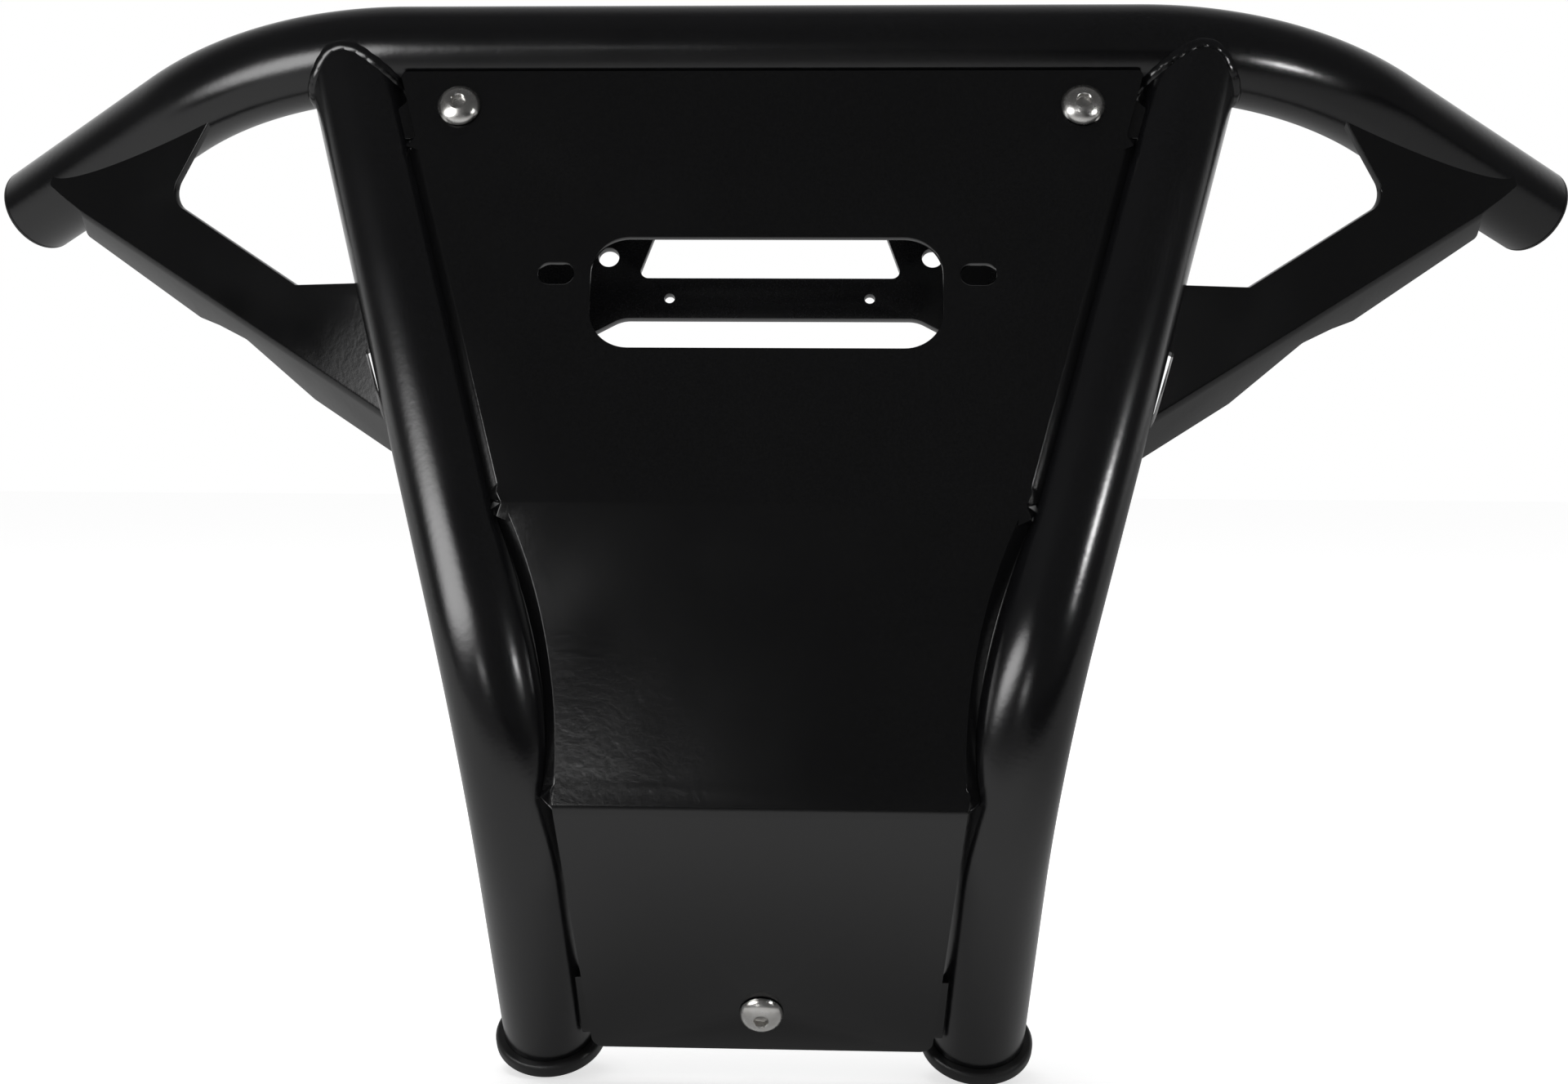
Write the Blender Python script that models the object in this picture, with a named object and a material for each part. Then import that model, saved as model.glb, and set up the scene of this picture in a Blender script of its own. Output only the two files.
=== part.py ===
"""Front bumper of an all-terrain vehicle, in metres, +Z up, with its front facing -Y.

A bent top tube rests on two bent uprights. A folded face sheet with a cable
opening is screwed between the uprights, a cross bracket with two side flanges
sits behind the opening, and a flanged wing plate ties each end of the top
tube to its upright. The origin is the middle of the bracket's back face.
"""

import math

import bmesh
import bpy
from mathutils import Matrix, Vector

# Clearance between pieces that touch
SEAT = 0.0003

# Tube stock, shared by the top tube and the uprights
TUBE_R = 0.01745
TUBE_WALL = 0.0026
TUBE_SIDES = 28

# Top tube: a straight middle, two bends that tip back and down, two straight ends
TOP_HALF = 0.1375
TOP_BEND_R = 0.152
TOP_BEND = math.radians(39.4)
TOP_BEND_STEPS = 7
TOP_DROP = math.radians(34.6)
TOP_END = 0.091

# Uprights: how they lean forward, close in and sweep back below the knee
LEAN = math.radians(21.07)
SWEEP = math.radians(30.81)
HEAD_PAST = 0.0221
HEAD_X = TOP_HALF + HEAD_PAST
KNEE_X = 0.0862
KNEE_DOWN = 0.2708
FOOT_X = 0.0794
FOOT_DOWN = 0.1370
KNEE_R = 0.110
KNEE_STEPS = 9

# Weld bead round each upright's coped head
BEAD_R = 0.0034
BEAD_SINK = 0.0020
BEAD_STEPS = 36
BEAD_SIDES = 8

# Plugs: domed ones in the top tube, rimmed ones under the uprights
PLUG_DEPTH = 0.012
PLUG_WALL = 0.002
CAP_RISE = 0.0032
CAP_EDGE = 0.0010
FOOT_RIM_R = 0.0208
FOOT_RIM = 0.0055
FOOT_EDGE = 0.0016
TURN_STEPS = 28

# Face sheet: three flats, measured down from the uprights' heads
SHEET = 0.0025
SHEET_FRONT = 0.0142
SHEET_INSET = 0.0172
SHEET_UPPER = 0.1838
SHEET_MIDDLE = 0.1076
SHEET_LOWER = 0.1129
SHEET_MIDDLE_LEAN = math.radians(11.95)
SHEET_BEND_R = 0.006
SHEET_WAIST = 0.0667
SHEET_WAIST_R = 0.060
SHEET_KNEE_HALF = 0.0712
SHEET_FOOT_HALF = 0.0624
SHEET_TOP_CORNER = 0.002
SHEET_FOOT_CORNER = 0.005
OPENING_HALF = 0.0635
OPENING_TOP = 0.0819
OPENING_HIGH = 0.0430
OPENING_CORNER = 0.014
SLOT_BESIDE = 0.0127
SLOT_X = OPENING_HALF + SLOT_BESIDE
SLOT_DOWN = 0.0962
SLOT_LONG = 0.0130
SLOT_HIGH = 0.0084

# Cross bracket behind the opening, on a plane parallel to the upper flat
BRACKET = 0.004
BRACKET_BACK = 0.0383
BRACKET_MIDDLE = 0.0846
BRACKET_TOP = 0.0380
BRACKET_BOTTOM = 0.0928
BRACKET_BEND_R = 0.004
BRACKET_FOOT = 0.1120
BRACKET_FOOT_X = 0.0900
BRACKET_NECK_X = 0.0560
BRACKET_CORNER = 0.012
WINDOW_FOOT_X = 0.0506
WINDOW_HEAD_X = 0.0410
WINDOW_TOP = 0.0480
WINDOW_FOOT = 0.0762
WINDOW_CORNER = 0.003
BOLT_HOLE_X = 0.0619
BOLT_HOLE_DOWN = 0.0676
BOLT_HOLE_R = 0.00395
PIN_HOLE_X = 0.0381
PIN_HOLE_R = 0.00195

# Wing plates: level (inwards) and down in their own plane from the start of the tube's straight end
WING = 0.003
WING_FRONT = 0.0106
WING_TURN = math.radians(28.9)
WING_LEAN = math.radians(4.3)
WING_TIP = (-0.0560, 0.0190)
WING_CHIN = (-0.0590, 0.0268)
WING_HEEL = (-0.0406, 0.0389)
WING_HEAD = (0.0278, 0.0041)
WING_CROOK = (0.0066, 0.0351)
WING_SILL = (0.0735, 0.0701)
WING_SILL_END = (0.1250, 0.0701)
WING_FOOT = (0.1132, 0.1163)
WING_REACH = 0.022
WING_CHIN_CORNER = 0.002
WING_CROOK_CORNER = 0.0075
WING_SILL_CORNER = 0.004
FLANGE_TURN = math.radians(42)
FLANGE_BEND_R = 0.005
FLANGE_TOE_WIDE = 0.0113
FLANGE_WIDE = 0.0148
FLANGE_FOOT_WIDE = 0.0176
FLANGE_NOTCH_WIDE = 0.0116
FLANGE_NECK_WIDE = 0.0091
FLANGE_TOE = 0.0005
NOTCH_START = 0.0705
NOTCH_FLOOR = 0.083
NOTCH_FLOOR_END = 0.0995
NOTCH_END = 0.137
FLANGE_CORNER = 0.006
FLANGE_TOE_CORNER = 0.002
SLIT_WIDE = 0.0020
SLIT_START = 0.1150
SLIT_END = 0.1420

# Button-head screws, their nuts, and what they clamp the sheet to
SCREW_R = 0.0040
SCREW_LONG = 0.0175
SCREW_HEAD_R = 0.0070
SCREW_HEAD_HIGH = 0.0044
SCREW_LIP_R = 0.0035
SCREW_RIM = 0.1
SCREW_SIDES = 24
SCREW_HEX = 0.0050
SCREW_HEX_DEEP = 0.0028
SCREW_HOLE_R = 0.0043
TOP_SCREW_X = 0.1150
TOP_SCREW_DOWN = 0.0287
FOOT_SCREW_UP = 0.0181
NUT_FLATS = 0.0130
NUT_HIGH = 0.0065
TAB = 0.004
TAB_HIGH = 0.0240
TAB_REACH = 0.0120
TAB_CORNER = 0.006
STRAP = 0.004
STRAP_HIGH = 0.0280

# Fineness of round corners and holes
CORNER_STEPS = 5
HOLE_SIDES = 20
SMOOTH_ANGLE = math.radians(32)
FOLD_STEPS = 3
WIDE_FOLD_STEPS = 5
DOME_STEPS = 5
CAP_STEPS = 4
SMALL_SIDES = 16
HALVINGS = 30
HAIR = 1e-6
# Cutters along a tube start and end past what they cut: as shares of its run
PAST_HEAD = -0.1
PAST_BEAD = 0.3
PAST_WING = 0.9
PAST_FOOT = 0.3

# The planes that the sheet metal lies in: local Z points out of the front
UPPER = Matrix.Rotation(math.pi / 2 - LEAN, 4, "X")
LOWER = Matrix.Rotation(math.pi / 2 + SWEEP, 4, "X")

# The uprights' heads meet the top tube's axis where its bends have begun
HEAD_BEND = math.asin((HEAD_X - TOP_HALF) / TOP_BEND_R)
TOP_PLANE = Matrix.Rotation(-TOP_DROP, 4, "X")
RIG = Matrix.Translation(UPPER @ Vector((0, BRACKET_MIDDLE, BRACKET_BACK)))
BAR = RIG @ TOP_PLANE @ Matrix.Translation((0, TOP_BEND_R * (math.cos(HEAD_BEND) - 1), 0))

# How far the sheet turns back at its two folds
UPPER_FOLD = LEAN - SHEET_MIDDLE_LEAN
LOWER_FOLD = SHEET_MIDDLE_LEAN + SWEEP


def clear_scene():
    for item in list(bpy.data.objects):
        bpy.data.objects.remove(item)


def finish(name, colour, roughness, metallic):
    material = bpy.data.materials.new(name)
    material.use_nodes = True
    shader = material.node_tree.nodes["Principled BSDF"]
    shader.inputs["Base Color"].default_value = (*colour, 1)
    shader.inputs["Roughness"].default_value = roughness
    shader.inputs["Metallic"].default_value = metallic
    return material


def add_piece(name, bm, place, material):
    """A named object from a bmesh, shaded smooth between its sharp edges."""
    mesh = bpy.data.meshes.new(name)
    bm.to_mesh(mesh)
    bm.free()
    mesh.shade_smooth()
    mesh.set_sharp_from_angle(angle=SMOOTH_ANGLE)
    mesh.materials.append(material)
    piece = bpy.data.objects.new(name, mesh)
    bpy.context.scene.collection.objects.link(piece)
    piece.matrix_world = place
    return piece


def add_cutter(name, bm, place):
    mesh = bpy.data.meshes.new(name)
    bm.to_mesh(mesh)
    bm.free()
    cutter = bpy.data.objects.new(name, mesh)
    bpy.context.scene.collection.objects.link(cutter)
    cutter.matrix_world = place
    cutter.hide_render = True
    cutter.display_type = "WIRE"
    return cutter


def cut(piece, cutter):
    modifier = piece.modifiers.new(cutter.name, "BOOLEAN")
    modifier.operation = "DIFFERENCE"
    modifier.solver = "EXACT"
    modifier.object = cutter


def thicken(piece, thickness):
    """Gives a folded surface its thickness, away from its front."""
    modifier = piece.modifiers.new("Thickness", "SOLIDIFY")
    modifier.thickness = thickness
    modifier.offset = -1
    modifier.use_even_offset = True


# Outlines and sheet metal


def rounded(corners):
    """A closed outline from (x, y, radius) corners, each turned to an arc of its radius."""
    outline = []
    for i, (x, y, radius) in enumerate(corners):
        corner = Vector((x, y))
        before = (Vector(corners[i - 1][:2]) - corner).normalized()
        after = (Vector(corners[(i + 1) % len(corners)][:2]) - corner).normalized()
        if radius == 0:
            outline.append(corner)
            continue
        half = before.angle(after) / 2
        middle = corner + (before + after).normalized() * radius / math.sin(half)
        start = corner + before * radius / math.tan(half) - middle
        end = corner + after * radius / math.tan(half) - middle
        turn = start.angle_signed(end)
        for step in range(CORNER_STEPS + 1):
            outline.append(middle + Matrix.Rotation(-turn * step / CORNER_STEPS, 2) @ start)
    return outline


def circle(x, y, radius, sides=HOLE_SIDES):
    turns = [2 * math.pi * i / sides for i in range(sides)]
    return [Vector((x + radius * math.cos(a), y + radius * math.sin(a))) for a in turns]


def slot(x, y, length, height):
    half = length / 2
    round_end = height / 2 - HAIR
    return rounded(
        [
            (x - half, y - height / 2, round_end),
            (x + half, y - height / 2, round_end),
            (x + half, y + height / 2, round_end),
            (x - half, y + height / 2, round_end),
        ]
    )


def filled(loops):
    """A flat surface facing +Z from an outline and the holes inside it."""
    bm = bmesh.new()
    for loop in loops:
        verts = [bm.verts.new((x, y, 0)) for x, y in loop]
        for i, vert in enumerate(verts):
            bm.edges.new((verts[i - 1], vert))
    bmesh.ops.triangle_fill(bm, edges=bm.edges[:], use_beauty=True, use_dissolve=False)
    bm.normal_update()
    turned_over = [face for face in bm.faces if face.normal.z < 0]
    bmesh.ops.reverse_faces(bm, faces=turned_over)
    return bm


def plate(loops, thickness):
    """A flat plate with its front on Z = 0."""
    bm = filled(loops)
    front = bm.faces[:]
    grown = bmesh.ops.extrude_face_region(bm, geom=front, use_keep_orig=True)
    back = [item for item in grown["geom"] if isinstance(item, bmesh.types.BMVert)]
    bmesh.ops.translate(bm, verts=back, vec=(0, 0, -thickness))
    bmesh.ops.recalc_face_normals(bm, faces=bm.faces[:])
    return bm


def fold(bm, point, outward, radius, turn, steps):
    """Folds what lies outward of the line through point: back for a positive turn, forward for a negative."""
    point = Vector((*point, 0))
    outward = Vector((*outward, 0)).normalized()
    sense = math.copysign(1, turn)
    angle = abs(turn)
    arc = radius * angle
    for step in range(steps + 1):
        bmesh.ops.bisect_plane(
            bm,
            geom=bm.verts[:] + bm.edges[:] + bm.faces[:],
            dist=1e-7,
            plane_co=point + outward * arc * step / steps,
            plane_no=outward,
        )
    for vert in bm.verts:
        past = (vert.co - point).dot(outward)
        if past <= 1e-7:
            continue
        rest = max(past - arc, 0)
        swung = min(past, arc) / radius
        lift = vert.co.z
        along = radius * math.sin(swung) + rest * math.cos(angle)
        fall = radius * (1 - math.cos(swung)) + rest * math.sin(angle)
        along += sense * lift * math.sin(swung)
        vert.co += outward * (along - past)
        vert.co.z = lift * math.cos(swung) - sense * fall


# Tubes, rods and turned pieces


def bent_path(corners, radius, steps):
    """Straight runs between corners, with each inner corner turned to a bend."""
    path = [corners[0]]
    for before, corner, after in zip(corners, corners[1:], corners[2:]):
        towards = (before - corner).normalized()
        onwards = (after - corner).normalized()
        half = towards.angle(onwards) / 2
        middle = corner + (towards + onwards).normalized() * radius / math.sin(half)
        start = corner + towards * radius / math.tan(half) - middle
        axis = towards.cross(onwards)
        turn = math.pi - 2 * half
        for step in range(steps + 1):
            spun = Matrix.Rotation(-turn * step / steps, 3, axis) @ start
            path.append(middle + spun)
    path.append(corners[-1])
    return path


def rings_along(bm, path, radius, sides):
    """Rings of points square to a flat path, joined to a skin that is open at both ends."""
    level = (path[0] - path[1]).cross(path[-1] - path[-2])
    level = level.normalized() if level.length > 1e-9 else (path[1] - path[0]).orthogonal().normalized()
    rings = []
    for i, point in enumerate(path):
        came = point - path[i - 1] if i > 0 else path[1] - path[0]
        goes = path[i + 1] - point if i + 1 < len(path) else came
        tangent = (came.normalized() + goes.normalized()).normalized()
        side = level.cross(tangent) / tangent.dot(came.normalized())
        ring = []
        for k in range(sides):
            a = 2 * math.pi * k / sides
            ring.append(bm.verts.new(point + radius * (side * math.cos(a) + level * math.sin(a))))
        rings.append(ring)
    for one, two in zip(rings, rings[1:]):
        for k in range(sides):
            bm.faces.new((one[k - 1], one[k], two[k], two[k - 1]))
    return rings


def tube(path, outer, inner, sides):
    """A hollow tube along a flat path, open at both ends."""
    bm = bmesh.new()
    outside = rings_along(bm, path, outer, sides)
    inside = rings_along(bm, path, inner, sides)
    for end in (0, -1):
        for k in range(sides):
            rim = (outside[end][k - 1], outside[end][k], inside[end][k], inside[end][k - 1])
            bm.faces.new(rim)
    bmesh.ops.recalc_face_normals(bm, faces=bm.faces[:])
    return bm


def rod(path, radius, sides=2 * TUBE_SIDES):
    """A solid round bar along a flat path."""
    bm = bmesh.new()
    rings = rings_along(bm, path, radius, sides)
    for end in (0, -1):
        bm.faces.new(rings[end])
    bmesh.ops.recalc_face_normals(bm, faces=bm.faces[:])
    return bm


def turned(profile, steps=TURN_STEPS):
    """A solid of revolution about Z from a profile of (radius, height) points."""
    bm = bmesh.new()
    verts = [bm.verts.new((radius, 0, height)) for radius, height in profile]
    edges = [bm.edges.new(pair) for pair in zip(verts, verts[1:])]
    if profile[0][0] > 0:
        edges.append(bm.edges.new((verts[-1], verts[0])))
    bmesh.ops.spin(
        bm,
        geom=verts + edges,
        axis=(0, 0, 1),
        cent=(0, 0, 0),
        angle=2 * math.pi,
        steps=steps,
        use_merge=True,
    )
    bmesh.ops.remove_doubles(bm, verts=bm.verts[:], dist=1e-6)
    bmesh.ops.recalc_face_normals(bm, faces=bm.faces[:])
    return bm


# Where the tubes run: the top tube from its own axis, the uprights from their heads


def top_path():
    reach = TOP_BEND_R * math.tan(TOP_BEND / 2)
    corner = Vector((TOP_HALF + reach, 0, 0))
    run = Vector((math.cos(TOP_BEND), math.sin(TOP_BEND), 0)) * (reach + TOP_END)
    right = [corner, corner + run]
    left = [Vector((-point.x, point.y, 0)) for point in reversed(right)]
    return bent_path(left + right, TOP_BEND_R, TOP_BEND_STEPS)


def upright_corners(side):
    head = Vector((side * HEAD_X, 0, 0))
    knee = UPPER @ Vector((side * KNEE_X, -KNEE_DOWN, 0))
    foot = knee + LOWER @ Vector((side * (FOOT_X - KNEE_X), -FOOT_DOWN, 0))
    end = foot + (knee - foot).normalized() * (FOOT_RIM + SEAT)
    return head, knee, end


def upright_x(down):
    """How far out an upright's axis is, at a distance down its upper run."""
    return HEAD_X + (KNEE_X - HEAD_X) * down / KNEE_DOWN


def upright_rod(side, extra, start=0.0, end=1.0):
    """A bar along an upright's upper run, wider than the tube by extra, from share start to end."""
    head, knee, _ = upright_corners(side)
    return rod([head.lerp(knee, start), head.lerp(knee, end)], TUBE_R + extra)


def cut_by_top_tube(piece, name):
    """Cuts a piece clear of the top tube."""
    cut(piece, add_cutter(name, rod(top_path(), TUBE_R + SEAT), BAR))


# The pieces


def make_top_tube(paint):
    add_piece("top_tube", tube(top_path(), TUBE_R, TUBE_R - TUBE_WALL, TUBE_SIDES), BAR, paint)


def make_upright(name, side, paint):
    path = bent_path(upright_corners(side), KNEE_R, KNEE_STEPS)
    bm = tube(path, TUBE_R, TUBE_R - TUBE_WALL, TUBE_SIDES)
    upright = add_piece(f"{name}_upright", bm, RIG, paint)
    cut_by_top_tube(upright, f"{name}_cope")


def away_from(axis, point):
    """The shortest step from a path to a point."""
    steps = []
    for one, two in zip(axis, axis[1:]):
        share = (point - one).dot(two - one) / (two - one).length_squared
        steps.append(point - one.lerp(two, min(max(share, 0), 1)))
    return min(steps, key=lambda step: step.length)


def make_weld_bead(name, side, paint):
    """A bead that follows the coped head of an upright, cut clear of both tubes."""
    head, knee, _ = upright_corners(side)
    run = (knee - head).normalized()
    across = run.orthogonal().normalized()
    other = run.cross(across)
    to_rig = RIG.inverted() @ BAR
    axis = [to_rig @ point for point in top_path()]
    centres = []
    lifts = []
    for i in range(BEAD_STEPS):
        a = 2 * math.pi * i / BEAD_STEPS
        out = across * math.cos(a) + other * math.sin(a)
        near, far = 0.0, 3 * TUBE_R
        for _ in range(HALVINGS):
            down = (near + far) / 2
            from_top = away_from(axis, head + out * TUBE_R + run * down)
            if from_top.length < TUBE_R + SEAT:
                near = down
            else:
                far = down
        from_top.normalize()
        lift = (out + from_top).normalized()
        point = head + out * TUBE_R + run * down
        centres.append(point - lift * BEAD_SINK * max(out.dot(from_top), 0))
        lifts.append(lift)
    bm = bmesh.new()
    rings = []
    for i, centre in enumerate(centres):
        tangent = (centres[(i + 1) % BEAD_STEPS] - centres[i - 1]).normalized()
        up = (lifts[i] - tangent * lifts[i].dot(tangent)).normalized()
        beside = tangent.cross(up)
        ring = []
        for k in range(BEAD_SIDES):
            a = 2 * math.pi * k / BEAD_SIDES
            ring.append(bm.verts.new(centre + BEAD_R * (up * math.cos(a) + beside * math.sin(a))))
        rings.append(ring)
    for i, ring in enumerate(rings):
        last = rings[i - 1]
        for k in range(BEAD_SIDES):
            bm.faces.new((last[k - 1], last[k], ring[k], ring[k - 1]))
    bmesh.ops.recalc_face_normals(bm, faces=bm.faces[:])
    bead = add_piece(f"{name}_weld_bead", bm, RIG, paint)
    cut_by_top_tube(bead, f"{name}_bead_seat")
    beside_upright = upright_rod(side, SEAT, start=PAST_HEAD, end=PAST_BEAD)
    cut(bead, add_cutter(f"{name}_bead_bore", beside_upright, RIG))


def make_top_cap(name, side, plastic):
    """A domed plug in an open end of the top tube."""
    bore = TUBE_R - TUBE_WALL - SEAT
    crown = TUBE_R - CAP_EDGE
    profile = [(0, CAP_RISE)]
    for step in range(1, CAP_STEPS):
        share = step / CAP_STEPS
        profile.append((crown * share, CAP_RISE - (CAP_RISE - 2 * CAP_EDGE) * share**2))
    profile += [
        (crown, 2 * CAP_EDGE),
        (TUBE_R, CAP_EDGE + SEAT),
        (TUBE_R, SEAT),
        (bore, SEAT),
        (bore, -PLUG_DEPTH),
        (bore - PLUG_WALL, -PLUG_DEPTH),
        (bore - PLUG_WALL, SEAT),
        (0, SEAT),
    ]
    path = top_path()
    end = path[-1]
    out = (end - path[-2]).normalized()
    end = Vector((side * end.x, end.y, 0))
    out = Vector((side * out.x, out.y, 0))
    place = Matrix.Translation(end) @ out.to_track_quat("Z", "Y").to_matrix().to_4x4()
    add_piece(f"{name}_top_cap", turned(profile), BAR @ place, plastic)


def make_foot_cap(name, side, plastic):
    """A rimmed plug under an upright, wider than the tube."""
    bore = TUBE_R - TUBE_WALL - SEAT
    edge = FOOT_EDGE * (1 - math.sqrt(0.5))
    profile = [
        (0, SEAT + FOOT_RIM),
        (FOOT_RIM_R - FOOT_EDGE, SEAT + FOOT_RIM),
        (FOOT_RIM_R - edge, SEAT + FOOT_RIM - edge),
        (FOOT_RIM_R, SEAT + FOOT_RIM - FOOT_EDGE),
        (FOOT_RIM_R, SEAT + FOOT_EDGE),
        (FOOT_RIM_R - edge, SEAT + edge),
        (FOOT_RIM_R - FOOT_EDGE, SEAT),
        (bore, SEAT),
        (bore, -PLUG_DEPTH),
        (bore - PLUG_WALL, -PLUG_DEPTH),
        (bore - PLUG_WALL, SEAT + PLUG_WALL),
        (0, SEAT + PLUG_WALL),
    ]
    _, knee, end = upright_corners(side)
    out = (end - knee).normalized()
    place = Matrix.Translation(end) @ out.to_track_quat("Z", "Y").to_matrix().to_4x4()
    add_piece(f"{name}_foot_cap", turned(profile), RIG @ place, plastic)


def make_face_sheet(paint):
    """The flat pattern of the sheet, folded back at two lines and thickened."""
    tube_axis = UPPER.inverted() @ RIG.inverted() @ BAR.translation
    depth = SHEET_FRONT - SHEET - tube_axis.z
    top_down = math.sqrt((TUBE_R + SEAT) ** 2 - depth**2) - tube_axis.y
    knee_down = SHEET_UPPER + SHEET_MIDDLE
    foot_down = knee_down + SHEET_LOWER
    inset = SHEET_INSET / math.cos(math.atan((HEAD_X - KNEE_X) / KNEE_DOWN))
    top_half = upright_x(top_down) - inset
    fold_half = upright_x(SHEET_UPPER) - inset
    waist_down = SHEET_UPPER + SHEET_WAIST
    waist_half = upright_x(waist_down) - inset
    outline = rounded(
        [
            (-top_half, -top_down, SHEET_TOP_CORNER),
            (-fold_half, -SHEET_UPPER, 0),
            (-waist_half, -waist_down, SHEET_WAIST_R),
            (-SHEET_KNEE_HALF, -knee_down, 0),
            (-SHEET_FOOT_HALF, -foot_down, SHEET_FOOT_CORNER),
            (SHEET_FOOT_HALF, -foot_down, SHEET_FOOT_CORNER),
            (SHEET_KNEE_HALF, -knee_down, 0),
            (waist_half, -waist_down, SHEET_WAIST_R),
            (fold_half, -SHEET_UPPER, 0),
            (top_half, -top_down, SHEET_TOP_CORNER),
        ]
    )
    opening_foot = OPENING_TOP + OPENING_HIGH
    opening = rounded(
        [
            (-OPENING_HALF, -OPENING_TOP, OPENING_CORNER),
            (-OPENING_HALF, -opening_foot, OPENING_CORNER),
            (OPENING_HALF, -opening_foot, OPENING_CORNER),
            (OPENING_HALF, -OPENING_TOP, OPENING_CORNER),
        ]
    )
    loops = [outline, opening]
    for side in (-1, 1):
        loops.append(slot(side * SLOT_X, -SLOT_DOWN, SLOT_LONG, SLOT_HIGH))
        loops.append(circle(side * TOP_SCREW_X, -TOP_SCREW_DOWN, SCREW_HOLE_R))
    loops.append(circle(0, -(foot_down - FOOT_SCREW_UP), SCREW_HOLE_R))
    bm = filled(loops)
    for down, turn, steps in ((knee_down, LOWER_FOLD, WIDE_FOLD_STEPS), (SHEET_UPPER, UPPER_FOLD, FOLD_STEPS)):
        start = down - SHEET_BEND_R * math.tan(turn / 2)
        fold(bm, (0, -start), (0, -1), SHEET_BEND_R, turn, steps)
    sheet = add_piece("face_sheet", bm, RIG @ UPPER @ Matrix.Translation((0, 0, SHEET_FRONT)), paint)
    thicken(sheet, SHEET)
    for name, side in (("left", -1), ("right", 1)):
        bar = rod(bent_path(upright_corners(side), KNEE_R, KNEE_STEPS), TUBE_R + SEAT)
        cut(sheet, add_cutter(f"{name}_sheet_side", bar, RIG))


def make_bracket(paint):
    """A web behind the opening, with a flange folded forward to each upright."""
    slope = Vector((KNEE_X - HEAD_X, -KNEE_DOWN)).normalized()
    flange_high = BRACKET_BACK - BRACKET - TUBE_R - SEAT
    reach = BRACKET / 2 + BRACKET_BEND_R
    flat_flange = flange_high + BRACKET_BEND_R * (math.pi / 2 - 1)
    beyond = (flat_flange - reach) / abs(slope.y)
    outer = [upright_x(down) + beyond for down in (BRACKET_TOP, BRACKET_FOOT)]
    outline = rounded(
        [
            (-outer[0], -BRACKET_TOP, 0),
            (-outer[1], -BRACKET_FOOT, 0),
            (-BRACKET_FOOT_X, -BRACKET_FOOT, BRACKET_CORNER),
            (-BRACKET_NECK_X, -BRACKET_BOTTOM, BRACKET_CORNER),
            (BRACKET_NECK_X, -BRACKET_BOTTOM, BRACKET_CORNER),
            (BRACKET_FOOT_X, -BRACKET_FOOT, BRACKET_CORNER),
            (outer[1], -BRACKET_FOOT, 0),
            (outer[0], -BRACKET_TOP, 0),
        ]
    )
    window = rounded(
        [
            (-WINDOW_HEAD_X, -WINDOW_TOP, WINDOW_CORNER),
            (-WINDOW_FOOT_X, -WINDOW_FOOT, WINDOW_CORNER),
            (WINDOW_FOOT_X, -WINDOW_FOOT, WINDOW_CORNER),
            (WINDOW_HEAD_X, -WINDOW_TOP, WINDOW_CORNER),
        ]
    )
    loops = [outline, window]
    for side in (-1, 1):
        loops.append(circle(side * BOLT_HOLE_X, -BOLT_HOLE_DOWN, BOLT_HOLE_R))
        loops.append(circle(side * PIN_HOLE_X, -BRACKET_MIDDLE, PIN_HOLE_R, SMALL_SIDES))
    bm = filled(loops)
    for side in (-1, 1):
        outward = Vector((-slope.y * side, slope.x))
        start = (side * (upright_x(0) - reach / abs(slope.y)), 0)
        fold(bm, start, outward, BRACKET_BEND_R, -math.pi / 2, WIDE_FOLD_STEPS)
    web = BRACKET_BACK - BRACKET
    bracket = add_piece("cross_bracket", bm, RIG @ UPPER @ Matrix.Translation((0, 0, -web)), paint)
    thicken(bracket, BRACKET)


def wing_frame(side):
    """The wing plate's own frame: X is level, Z points out of the front, and both start at the tube's bend."""
    path = top_path()
    along = Vector((math.cos(WING_TURN), side * math.sin(WING_TURN), 0))
    ahead = Vector((along.y, -along.x, 0))
    front = ahead * math.cos(WING_LEAN) + Vector((0, 0, math.sin(WING_LEAN)))
    turn = Matrix((along, front.cross(along), front)).transposed().to_4x4()
    start = RIG.inverted() @ BAR @ Vector((side * path[-2].x, path[-2].y, 0))
    return Matrix.Translation(start + front * WING_FRONT) @ turn


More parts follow.
